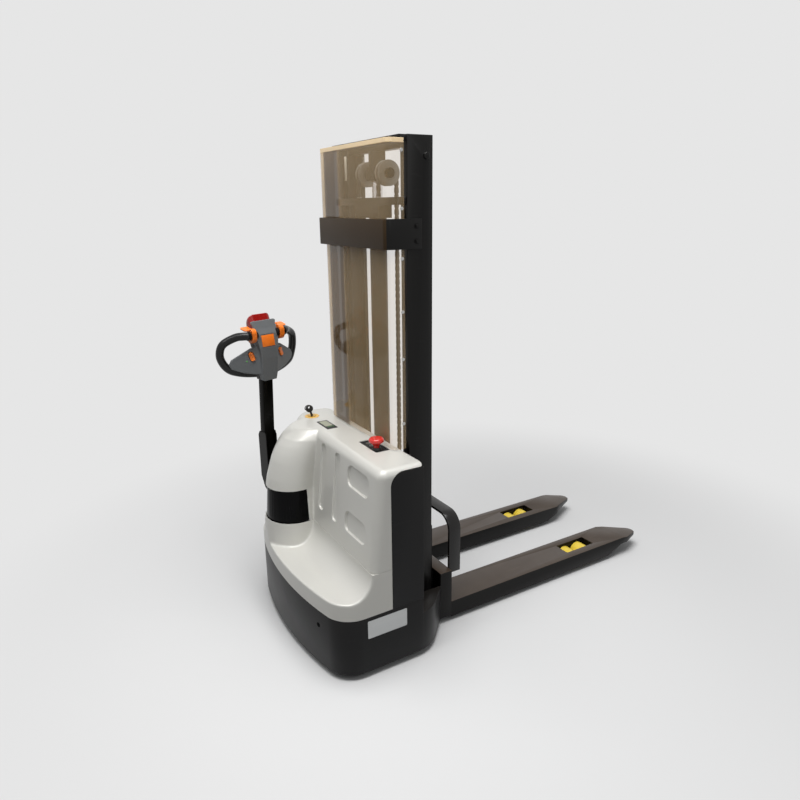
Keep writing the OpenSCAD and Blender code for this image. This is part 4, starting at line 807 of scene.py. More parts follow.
@dataclass
class UpperCover:
    """The upper moulding: a rounded body with the steering column on its left.

    A station gives the column's height, lean and radius. A pocket gives its
    left, right, low and high side, its depth and the radius of its corners.
    """

    half: float = 0.414
    top: float = 0.800
    seam: float = 0.4186
    foot: float = 0.410
    front: float = -0.141
    body_front: float = -0.121
    seam_rear: float = -0.358
    brow_rear: float = -0.319
    edge: float = 0.032
    hip: float = 0.110
    shoulder: float = 0.060
    wall: float = 0.004
    column: float = 0.110
    cheek: float = 0.1216
    window_top: float = 0.558
    window_front: float = STEERING_Y + 0.022
    window_reach: float = 0.2
    lip_corner: float = 0.022
    lip_low: float = 0.770
    panel_face: float = 0.400
    panel_rear: float = -0.2776
    panel_top: float = 0.7876
    panel_corner: float = 0.0505
    recess: tuple = ((0.0935, -0.2355, 0.790), (0.2345, -0.1745, 0.85))
    cell: float = 0.0034
    stations: tuple = ((0.598, 0.008, 0.110), (0.638, 0.020, 0.110), (0.672, 0.031, 0.110),
                       (0.703, 0.045, 0.110), (0.734, 0.063, 0.110), (0.762, 0.084, 0.110),
                       (0.776, 0.098, 0.106), (0.788, 0.107, 0.100), (0.796, 0.113, 0.092),
                       (0.800, 0.116, 0.083))
    pockets: tuple = ((0.176, 0.341, 0.495, 0.575, 0.0085, 0.029),
                      (0.176, 0.341, 0.675, 0.755, 0.0085, 0.029),
                      (-0.0615, -0.0185, 0.488, 0.767, 0.0075, 0.0205),
                      (0.0640, 0.1070, 0.488, 0.767, 0.0075, 0.0205))

    def body(self) -> Piece:
        """Build the rounded body with its leaning rear face."""
        low, high = (-self.half, self.seam_rear, self.foot), (self.half, self.body_front, self.top)
        piece = Workshop.block("upper_body", low, high)
        rear, brow = self.seam_rear + NEAR, self.top - NEAR
        Workshop.pick(piece, "EDGE", lambda a, b: min(a.z, b.z) > brow and max(a.y, b.y) < rear)
        bpy.ops.transform.translate(value=(0, self.brow_rear - self.seam_rear, 0))
        Workshop.done()
        for side, behind, radius, segments in ((-1, True, self.hip, 16), (1, True, self.edge, 8),
                                               (-1, False, self.shoulder, 10), (1, False, self.edge, 8)):
            Workshop.round_edges(piece, lambda a, b: self.at_corner(a, b, side, behind), radius, segments)
        Workshop.round_edges(piece, lambda a, b: min(a.z, b.z) > self.top - 0.001, self.edge - 0.002, 8)
        return piece

    def at_corner(self, first: Vector, last: Vector, side: int, behind: bool) -> bool:
        """Tell whether an edge is the upright one at a corner of the body."""
        for end in (first, last):
            if end.x * side <= self.panel_face or (end.y < -0.2) != behind:
                return False
        return abs(first.z - last.z) > 0.3

    def leaning_column(self) -> Piece:
        """Extrude the column upwards, leaning forward as it rises."""
        x, y = STEERING_X, STEERING_Y
        piece = Workshop.bar("column", (x, y, 0.52), (x, y, self.window_top), self.column, 96)
        offset, radius, height = 0.0, self.column, self.window_top
        for z, lean, wide in self.stations:
            step, ratio = (0, lean - offset, z - height), wide / radius
            top = height - 0.0005
            Workshop.extrude(
                piece, lambda c, n: n.z > FLAT and c.z > top, step, (ratio, ratio, 1), (x, y + lean, z)
            )
            offset, radius, height = lean, wide, z
        return piece

    def cheeks(self) -> Piece:
        """Build the cone whose front half joins the column to the seam."""
        foot, head = (STEERING_X, STEERING_Y, self.foot), (STEERING_X, STEERING_Y, self.window_top)
        piece = Workshop.cone("cheeks", foot, head, self.cheek, self.column, 96)
        Workshop.slice(piece, (STEERING_X, self.window_front, 0), (0, -1, 0))
        return piece

    def pocket(
        self, left: float, right: float, low: float, high: float, depth: float, corner: float
    ) -> Piece:
        """Build the tool for a recess in the leaning rear face.

        Args:
            left: Left side of the recess.
            right: Right side of the recess.
            low: Height of its lower side.
            high: Height of its upper side.
            depth: Depth below the face.
            corner: Radius of its corners.

        Returns:
            A tool with a rounded foot and a flared rim.
        """
        slope = (self.brow_rear - self.seam_rear) / (self.top - self.foot)
        middle = (low + high) / 2
        half_w, half_h = (right - left) / 2, (high - low) / 2
        flare, widest = depth * 0.5, math.radians(68)
        place, spread = flare * math.sin(widest), 0.0
        piece = Workshop.slab("pocket", (-half_w, place, -half_h), (half_w, depth, half_h), "y", corner, 10)
        Workshop.round_edges(piece, lambda a, b: min(a.y, b.y) > depth - 0.0003, (depth - place) * 0.8, 4)
        stations = []
        for k in range(1, 6):
            turn = widest * k / 5
            stations.append((flare * (math.sin(widest) - math.sin(turn)), flare * (1 - math.cos(turn))))
        for y, offset in [*stations, (-0.02, stations[-1][1])]:
            scale = ((half_w + offset) / (half_w + spread), 1, (half_h + offset) / (half_h + spread))
            rim = place + 0.0001
            step = (0, y - place, 0)
            Workshop.extrude(piece, lambda c, n: n.y < -FLAT and c.y < rim, step, scale, (0, y, 0))
            place, spread = y, offset
        piece.rotation_euler = (-math.atan(slope), 0, 0)
        piece.location = ((left + right) / 2, self.seam_rear + (middle - self.foot) * slope, middle)
        return Workshop.settle(piece)

    def lip_tool(self, side: int) -> Piece:
        """Build the tool that rounds the lip's front corner, seen from above."""
        x, y = side * (self.half - self.lip_corner), self.front - self.lip_corner
        low, high = span(side, self.half - self.lip_corner, self.half + 0.02)
        piece = Workshop.block("lip_tool", (low, y, self.lip_low), (high, 0.0, self.top + 0.03))
        post = Workshop.bar("post", (x, y, self.lip_low - 0.01), (x, y, self.top + 0.04), self.lip_corner, 64)
        return Workshop.work(piece, post)

    def panel_tool(self, side: int) -> Piece:
        """Build the tool that makes room for a side panel."""
        low, high = span(side, self.panel_face, 0.440)
        piece = Workshop.block("panel_tool", (low, self.panel_rear, 0.3), (high, 0.1, self.panel_top))
        rear, top = self.panel_rear + 0.0076, self.panel_top - 0.0076
        Workshop.round_edges(
            piece, lambda a, b: min(a.z, b.z) > top and max(a.y, b.y) < rear, self.panel_corner, 12
        )
        return piece

    def build(self, depot: Depot) -> None:
        """Model the cover and hand it over."""
        piece = self.body()
        Workshop.work(piece, self.leaning_column(), Combine.JOIN)
        Workshop.work(piece, self.cheeks(), Combine.JOIN)
        Workshop.mould(piece, self.cell, 9, 0.5)
        left, right = STEERING_X - self.window_reach, STEERING_X + self.window_reach
        rear = STEERING_Y - self.window_reach
        for tool in (
            *(self.pocket(*sizes) for sizes in self.pockets),
            *(self.lip_tool(side) for side in SIDES),
            Workshop.block("front_tool", (-1, self.front, 0), (1, 0.1, 1)),
            Workshop.block("seam_tool", (-1, -1, 0.3), (1, 1, self.seam)),
            Workshop.block("window", (left, rear, 0.3), (right, self.window_front, self.window_top)),
            *(self.panel_tool(side) for side in SIDES),
        ):
            Workshop.work(piece, tool)
        Workshop.open_faces(piece, self.is_opening)
        Workshop.modify(piece, "SOLIDIFY", thickness=self.wall, offset=-1.0, use_rim=True)
        Workshop.work(piece, Workshop.slab("recess", *self.recess, "z", 0.006, 4), solver="EXACT")
        depot.deliver(piece, "upper_cover_moulding", "chassis", Finishes.SILVER, ["upper_cover"], COVER_ANGLE)

    def is_opening(self, middle: Vector, normal: Vector) -> bool:
        """Tell whether a face closes one of the cover's openings."""
        above = abs(middle.x - STEERING_X) < self.window_reach
        return (
            (normal.y > FLAT and middle.y > self.front - SKIN)
            or (normal.z < -FLAT and middle.z < self.seam + SKIN)
            or (above and normal.z < -FLAT and abs(middle.z - self.window_top) < SKIN)
            or (above and normal.y < -FLAT and abs(middle.y - self.window_front) < SKIN
                and middle.z < self.window_top)
            or (abs(normal.x) > FLAT and abs(abs(middle.x) - self.panel_face) < SKIN
                and middle.y > self.panel_rear)
        )


@dataclass
class LowerCover:
    """The lower moulding: rim, tray and the cone under the steering band."""

    half: float = 0.414
    tail: float = -0.540
    bow: float = 1.460
    corner: float = 0.110
    rim: float = 0.2536
    tray: float = 0.320
    tray_back: float = -0.457
    scoop: float = 0.098
    seam: float = 0.4176
    head: float = 0.426
    cone_foot: float = 0.1448
    cone_head: float = 0.1202
    front: float = -0.2776
    wall: float = 0.004
    cell: float = 0.0034
    fill_x: tuple = (0.332, 0.412)
    fill_y: tuple = (-0.3575, -0.2800)
    fill_z: tuple = (0.4100, 0.4160)

    def plan(self) -> Piece:
        """Build a tall solid with the outline of the chassis."""
        piece = Workshop.block("plan", (-self.half, self.tail - 0.02, 0.2), (self.half, -0.2, 0.5))
        axis_y = self.bow + self.tail
        bow = Workshop.bar("bow", (0, axis_y, 0.1), (0, axis_y, 0.6), self.bow, 720)
        Workshop.work(piece, bow, Combine.KEEP)
        reach, across = self.bow - self.corner, self.half - self.corner
        y = axis_y - math.sqrt(reach**2 - across**2)
        for side in SIDES:
            x = side * across
            low, high = span(side, across, self.half + 0.05)
            tool = Workshop.block("corner_tool", (low, self.tail - 0.05, 0.15), (high, y, 0.55))
            Workshop.slice(tool, (x, y, 0), (side * (y - axis_y) / reach, -across / reach, 0))
            Workshop.work(tool, Workshop.bar("corner_post", (x, y, 0.1), (x, y, 0.6), self.corner, 128))
            Workshop.work(piece, tool)
        return piece

    def build(self, depot: Depot) -> None:
        """Model the cover and hand it over."""
        x, y = STEERING_X, STEERING_Y
        plan = self.plan()
        piece = Workshop.duplicate(plan, Matrix.Identity(4))
        axis_z = self.tray + self.scoop
        for tool in (
            Workshop.block("above", (-1, -1, self.head), (1, 1, 1)),
            Workshop.block("behind", (-1, -1, self.tray), (1, self.tray_back, 1)),
            Workshop.bar("scoop", (-1, self.tray_back, axis_z), (1, self.tray_back, axis_z), self.scoop, 180),
        ):
            Workshop.work(piece, tool)
        cone = Workshop.cone("cone", (x, y, 0.2), (x, y, self.head), self.cone_foot, self.cone_head, 96)
        Workshop.work(cone, plan, Combine.KEEP)
        Workshop.work(piece, cone, Combine.JOIN)
        Workshop.mould(piece, self.cell, 20, 1.0)
        for low, high in (((-1, -1, self.seam), (1, 1, 1)), ((-1, -1, 0), (1, 1, self.rim)),
                          ((-1, self.front, 0), (1, 1, 1))):
            Workshop.work(piece, Workshop.block("edge_tool", low, high))
        Workshop.open_faces(piece, self.is_opening)
        Workshop.thin_out(piece, 0.5)
        Workshop.modify(piece, "SOLIDIFY", thickness=self.wall, offset=-1.0, use_rim=True)
        fills = []
        for side in SIDES:
            low, high = span(side, *self.fill_x)
            ends = zip((low, high), self.fill_y, self.fill_z)
            fills.append(Workshop.block("fill", *ends))
        piece = Workshop.join([piece, *fills], "lower_cover")
        depot.deliver(piece, "lower_cover_moulding", "chassis", Finishes.SILVER, ["lower_cover"], COVER_ANGLE)

    def is_opening(self, middle: Vector, normal: Vector) -> bool:
        """Tell whether a face closes the cover above, below or in front."""
        level = middle.z > self.seam - SKIN or middle.z < self.rim + SKIN
        return (abs(normal.z) > FLAT and level) or (normal.y > FLAT and middle.y > self.front - SKIN)


@dataclass
class TillerHead:
    """The tiller head with its grips, thumb levers and switches.

    A lean gives the height and depth of a bend and its angle. A box gives a low
    and a high corner, drawn for a head that faces straight back. A mould gives
    its cell, its rounds of smoothing and the share of the faces that stays.
    """

    grip_radius: float = 0.0163
    drum_depth: float = 0.117
    drum_height: float = 1.178
    drum_half: tuple = (0.0215, 0.0295)
    drum_x: tuple = (0.0570, 0.0775)
    drum_corner: float = 0.0210
    paddle_x: tuple = (0.0650, 0.1020)
    paddle_y: tuple = (-0.0200, 0.0185)
    paddle_half: float = 0.0027
    paddle_corner: float = 0.010
    paddle_turn: float = -0.24
    paddle_lift: Point = (0.0, -0.0155, 0.0272)
    rib_start: float = 0.0812
    rib_step: float = 0.0035
    wing_root: Point = (0.030, -0.106, 0.0)
    wing_turn: float = math.radians(23.4)
    wing_outline: tuple = ((0.0, 1.149), (0.015, 1.144), (0.1286, 1.084), (0.1384, 1.066), (0.1275, 1.044),
                           (0.0817, 1.025), (0.0414, 1.017), (0.0, 1.013))
    rocker_tilt: float = math.radians(20.0)
    rocker_box: tuple = ((-0.0095, -0.010, -0.0185), (0.0095, 0.006, 0.0185))
    rocker_corner: float = 0.0090
    rocker_hollow: float = 0.048
    slot_box: tuple = ((-0.0107, -0.009, -0.0197), (0.0107, 0.02, 0.0197))
    slot_corner: float = 0.0101
    lamp_place: tuple = (0.066, 1.074)
    leans: tuple = ((1.127, -0.100, math.radians(10.0)), (1.178, -0.1088, math.radians(12.0)))
    top_cut: float = 1.1925
    lip: tuple = ((-0.0590, -0.1125, 1.190), (0.0590, -0.1025, 1.2395))
    crown_box: tuple = ((-0.052, -0.166, 1.2015), (0.052, -0.1138, 1.2690))
    neck_box: tuple = ((-0.036, -0.158, 1.185), (0.036, -0.122, 1.215))
    cover_mould: tuple = (0.0018, 10, 0.5)
    crown_mould: tuple = (0.0014, 9, 0.6)
    lever_mould: tuple = (0.0010, 5, 0.35)
    rocker_mould: tuple = (0.0008, 5, 0.4)
    shell_mould: tuple = (0.0016, 6, 0.5)
    crown_dome: float = 0.038
    crown_side: float = 0.021
    screw_spots: tuple = ((-0.026, 1.010), (0.026, 1.010), (-0.036, 1.170), (0.036, 1.170))
    screw_y: tuple = (-0.162, -0.1655)
    screw_radius: float = 0.004
    loop: tuple = ((0.046, 0.117, 1.178), (0.0805, 0.117, 1.178), (0.101, 0.127, 1.179),
                   (0.126, 0.151, 1.174), (0.169, 0.175, 1.149), (0.180, 0.186, 1.108),
                   (0.170, 0.184, 1.070), (0.147, 0.174, 1.041), (0.109, 0.163, 1.025),
                   (0.072, 0.154, 1.017), (0.042, 0.149, 1.013))

    def lean(self, piece: Piece) -> Piece:
        """Lean a piece of the head back from the orange plate upwards."""
        on_tiller(piece, back=True)
        for height, depth, angle in self.leans:
            Workshop.pick(piece, "VERT", lambda place: place.z > height)
            bpy.ops.transform.rotate(value=-angle, orient_axis="X", center_override=(0, depth, height))
            Workshop.done()
        return on_tiller(piece)

    def open_top(self, piece: Piece) -> None:
        """Clear the top of the head behind its face for the crown and its stroke."""
        tool = Workshop.block("top_tool", (-0.08, -0.25, self.top_cut), (0.08, self.lip[0][1], 1.3))
        Workshop.work(piece, on_tiller(tool))

    def grips(self, depot: Depot) -> None:
        """Sweep the two grip loops and add the ribs at their roots."""
        parts: list[Piece] = []
        y, z, radius = -self.drum_depth, self.drum_height, self.grip_radius
        for side in SIDES:
            route = Workshop.curve_through([(side * s, -depth, height) for s, depth, height in self.loop], 6)
            parts.append(Workshop.tube(f"loop_{side}", route, radius, 7))
            for k in range(3):
                x = side * (self.rib_start + self.rib_step * k)
                parts.append(Workshop.bar("rib", (x, y, z), (x + side * 0.0016, y, z), radius + 0.0012, 40))
        piece = on_tiller(Workshop.join(parts, "grips"))
        depot.deliver(piece, "grip_loops", "tiller", Finishes.GRIP, ["hand_grips"], COVER_ANGLE)

    def details(self, depot: Depot) -> None:
        """Add the seam screws and the lamp on the right wing."""
        screws = []
        for x, z in self.screw_spots:
            foot, head = self.screw_y
            screw = Workshop.bar("screw", (x, head, z), (x, foot, z), self.screw_radius, 20)
            Workshop.round_edges(screw, lambda a, b: max(a.y, b.y) < head + 0.0001, 0.0008, 2)
            screws.append(screw)
        piece = self.lean(on_tiller(Workshop.join(screws, "screws")))
        depot.deliver(piece, "head_screws", "tiller", Finishes.STEEL)
        lamp = Workshop.bar("lamp", (0, -0.002, 0), (0, 0.0012, 0), 0.0035, 24)
        Workshop.round_edges(lamp, lambda a, b: min(a.y, b.y) > 0.001, 0.0008, 3)
        lamp = on_tiller(self.on_wing(lamp, 1, *self.lamp_place))
        depot.deliver(lamp, "wing_lamp", "tiller", Finishes.LAMP)

    def on_wing(
        self, piece: Piece, side: int, x: float = 0.045, z: float = 1.092, tilt: float = 0.0
    ) -> Piece:
        """Place a piece on a wing, by default where its rocker is.

        Args:
            piece: A piece drawn round its own middle.
            side: The wing, -1 for left and 1 for right.
            x: Distance along the wing from its root.
            z: Height.
            tilt: How far its top leans to the operator's right, in radians.

        Returns:
            The same piece.
        """
        across, y, foot = self.wing_root
        root = Matrix.Translation((side * across, y, foot)) @ Matrix.Rotation(-side * self.wing_turn, 4, "Z")
        piece.matrix_world = root @ Matrix.Translation((side * x, 0, z)) @ Matrix.Rotation(tilt, 4, "Y")
        return Workshop.settle(piece)

    def wing(self, side: int) -> Piece:
        """Slice a plate to the rounded outline of a wing."""
        low, high = span(side, -0.012, 0.140)
        piece = Workshop.block("wing", (low, -0.009, 1.010), (high, 0.0, 1.152))
        for start, end in zip(self.wing_outline, self.wing_outline[1:]):
            run, rise = end[0] - start[0], end[1] - start[1]
            Workshop.slice(piece, (side * start[0], 0, start[1]), (side * -rise, 0, run))
        return self.on_wing(piece, side, 0.0, 0.0)

    def rocker(self, side: int) -> Piece:
        """Build a rocker: a long rounded button with a hollow along its face."""
        piece = Workshop.slab("rocker", *self.rocker_box, "y", self.rocker_corner, 8)
        y = self.rocker_hollow + 0.0035
        Workshop.work(piece, Workshop.bar("hollow", (-0.02, y, 0), (0.02, y, 0), self.rocker_hollow, 160))
        Workshop.mould(piece, *self.rocker_mould)
        return on_tiller(self.on_wing(piece, side, tilt=self.rocker_tilt))

    def cover(self, depot: Depot) -> None:
        """Cut the rockers' slots into the grey cover and round it."""
        piece = depot.copy_of("head_cover")
        lip = Workshop.block("lip", *self.lip)
        half, top = self.lip[1][0], self.lip[1][2]
        for side in SIDES:
            Workshop.slice(lip, (side * half, 0, top - 0.0075), (side * 0.95, 0, -0.31))
        upper = top - 0.0045
        Workshop.round_edges(lip, lambda a, b: abs(a.y - b.y) > 0.005 and min(a.z, b.z) > upper, 0.010, 6)
        self.open_top(piece)
        Workshop.work(piece, on_tiller(lip), Combine.JOIN)
        for side in SIDES:
            Workshop.work(piece, on_tiller(self.wing(side)), Combine.JOIN)
            slot = Workshop.slab("slot", *self.slot_box, "y", self.slot_corner, 8)
            Workshop.work(piece, on_tiller(self.on_wing(slot, side, tilt=self.rocker_tilt)))
        Workshop.mould(piece, *self.cover_mould)
        name = "head_cover_moulding"
        depot.deliver(self.lean(piece), name, "tiller", Finishes.HEAD, ["head_cover"], MOULD_ANGLE)

    def crown(self, depot: Depot) -> None:
        """Round a block into the red crown on top of the head."""
        piece = Workshop.block("crown", *self.crown_box)
        (_, rear, _), (half, _, top) = self.crown_box
        rear, half, top = rear + 0.006, half - 0.001, top - 0.009
        Workshop.round_edges(
            piece, lambda a, b: max(a.y, b.y) < rear and min(a.z, b.z) > top, self.crown_dome, 12
        )
        Workshop.round_edges(
            piece, lambda a, b: min(abs(a.x), abs(b.x)) > half and a.x * b.x > 0, self.crown_side, 10
        )
        Workshop.work(piece, Workshop.block("neck", *self.neck_box), Combine.JOIN)
        Workshop.mould(piece, *self.crown_mould)
        piece = self.lean(on_tiller(piece))
        depot.deliver(piece, "red_crown", "belly_switch", Finishes.CROWN, ["belly_switch"], MOULD_ANGLE)

    def lever(self, side: int) -> Piece:
        """Build one drum with the thumb wing that curls over it."""
        y, z = -self.drum_depth, self.drum_height
        deep, tall = self.drum_half
        low, high = span(side, *self.drum_x)
        foot, head = (low, y - deep, z - tall), (high, y + deep, z + tall)
        drum = Workshop.slab("drum", foot, head, "x", self.drum_corner, 12)
        low, high = span(side, *self.paddle_x)
        rear, front = self.paddle_y
        wing = Workshop.block("paddle", (low, rear, -self.paddle_half), (high, front, self.paddle_half))
        tip = self.paddle_x[1] - NEAR
        Workshop.round_edges(
            wing, lambda a, b: abs(a.z - b.z) > NEAR and min(abs(a.x), abs(b.x)) > tip, self.paddle_corner, 8
        )
        turn = Matrix.Rotation(self.paddle_turn, 4, "X")
        wing.matrix_world = Matrix.Translation(Vector((0, y, z)) + Vector(self.paddle_lift)) @ turn
        Workshop.work(drum, Workshop.settle(wing), Combine.JOIN)
        bore = Workshop.bar("bore", (side * 0.04, y, z), (side * 0.09, y, z), self.grip_radius + 0.0004, 64)
        return Workshop.work(drum, bore)

    def levers(self, depot: Depot) -> None:
        """Mould both thumb levers as one piece."""
        piece = Workshop.join([self.lever(side) for side in SIDES], "levers")
        Workshop.mould(piece, *self.lever_mould)
        piece = on_tiller(piece)
        depot.deliver(piece, "thumb_levers", "throttle", Finishes.ORANGE, ["throttle_lever"], MOULD_ANGLE)

    def build(self, depot: Depot) -> None:
        """Model the head's pieces and hand them over."""
        self.cover(depot)
        self.crown(depot)
        self.levers(depot)
        for side, word in zip(SIDES, ("left", "right")):
            node = f"rocker_{word}"
            depot.deliver(self.rocker(side), f"wing_{node}", node, Finishes.ORANGE, [node], MOULD_ANGLE)
        shell = depot.copy_of("head_shell")
        self.open_top(shell)
        Workshop.mould(shell, *self.shell_mould)
        name = "head_shell_moulding"
        depot.deliver(self.lean(shell), name, "tiller", Finishes.SHELL, ["head_shell"], MOULD_ANGLE)
        badge = self.lean(Workshop.soften(depot.copy_of("head_panel"), 0.0012))
        depot.deliver(badge, "head_badge", "tiller", Finishes.ORANGE, ["head_panel"])
        depot.take_over("tiller_arm", Finishes.ARM, 0.004, Treatment.FOLDED)
        depot.take_over("tiller_shroud", Finishes.SHELL, 0.002, Treatment.MOULDED)
        depot.take_over("tiller_bracket", Finishes.CASTING)
        depot.take_over("tiller_pin", Finishes.STEEL, 0.0006)
        self.grips(depot)
        self.details(depot)


@dataclass
class LeafChain:
    """Leaf chain built from one plate that is copied along its run."""

    pitch: float = 0.0127
    plate_t: float = 0.0023
    plate_r: float = 0.0056
    outer_x: tuple = (-0.0066, 0.0, 0.0066)
    inner_x: tuple = (-0.0033, 0.0033)
    pin_r: float = 0.0026
    half_w: float = 0.0080
    strand_x: tuple = (-0.075, 0.075)
    pulley_y: float = -0.078
    pulley_z: float = 1.787
    run_r: float = 0.0373
    rear_foot: float = 1.703
    front_foot: float = 0.350

    def plate(self, x: float) -> Piece:
        """Stretch a short round bar into one link plate."""
        half = self.plate_t / 2
        piece = Workshop.bar("plate", (x - half, 0, 0), (x + half, 0, 0), self.plate_r, 12)
        Workshop.pick(piece, "VERT", lambda place: place.z > 0.0001)
        bpy.ops.transform.translate(value=(0, 0, self.pitch))
        Workshop.done()
        return piece

    def pair(self) -> Piece:
        """Build two pitches of chain: outer plates, inner plates and two pins."""
        parts = [self.plate(x) for x in self.outer_x]
        for x in self.inner_x:
            inner = self.plate(x)
            inner.location = (0, 0, self.pitch)
            parts.append(Workshop.settle(inner))
        for z in (0, self.pitch):
            parts.append(Workshop.bar("pin", (-self.half_w, 0, z), (self.half_w, 0, z), self.pin_r, 8))
        return Workshop.join(parts, "chain_pair")

    def strands(self, name: str, y: float, low: float, high: float) -> Piece:
        """Build both straight strands at one distance, left and right."""
        made = []
        step = 2 * self.pitch
        for x in self.strand_x:
            piece = self.pair()
            Workshop.modify(
                piece, "ARRAY", count=math.ceil((high - low) / step) + 1, use_relative_offset=False,
                use_constant_offset=True, constant_offset_displace=(0, 0, step),
            )
            piece.location = (x, y, low)
            Workshop.settle(piece)
            for end, way in ((high, 1), (low, -1)):
                Workshop.slice(piece, (0, 0, end), (0, 0, way))
            made.append(piece)
        return Workshop.smooth(Workshop.join(made, name))

    def wraps(self) -> Piece:
        """Lay plates round the upper half of both pulleys."""
        parts = []
        steps = round(math.pi * self.run_r / self.pitch)
        for x in self.strand_x:
            for k in range(steps):
                angle = math.pi * k / steps
                reach = self.run_r * Vector((0, math.cos(angle), math.sin(angle)))
                place = Matrix.Translation(Vector((x, self.pulley_y, self.pulley_z)) + reach)
                turn = Matrix.Rotation(angle + math.pi / (2 * steps), 4, "X")
                for offset in self.outer_x if k % 2 else self.inner_x:
                    piece = self.plate(offset)
                    piece.matrix_world = place @ turn
                    parts.append(Workshop.settle(piece))
        return Workshop.join(parts, "wraps")

    def build(self, depot: Depot) -> None:
        """Let strands run from their fixed ends to the pulleys, and lay the turns over these."""
        for word, side, body, foot in (("rear", -1, "chassis", self.rear_foot),
                                       ("front", 1, "carriage", self.front_foot)):
            name = f"{word}_chain_strands"
            piece = self.strands(name, self.pulley_y + side * self.run_r, foot, self.pulley_z)
            depot.paint(piece, name, Finishes.CHAIN)
            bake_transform(piece)
            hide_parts(f"{word}_chains")
            log.info("%-28s %6d faces from %s", name, len(piece.data.polygons), body)
        depot.deliver(self.wraps(), "chain_turns", "mast_stage", Finishes.CHAIN, ["chain_wraps"])


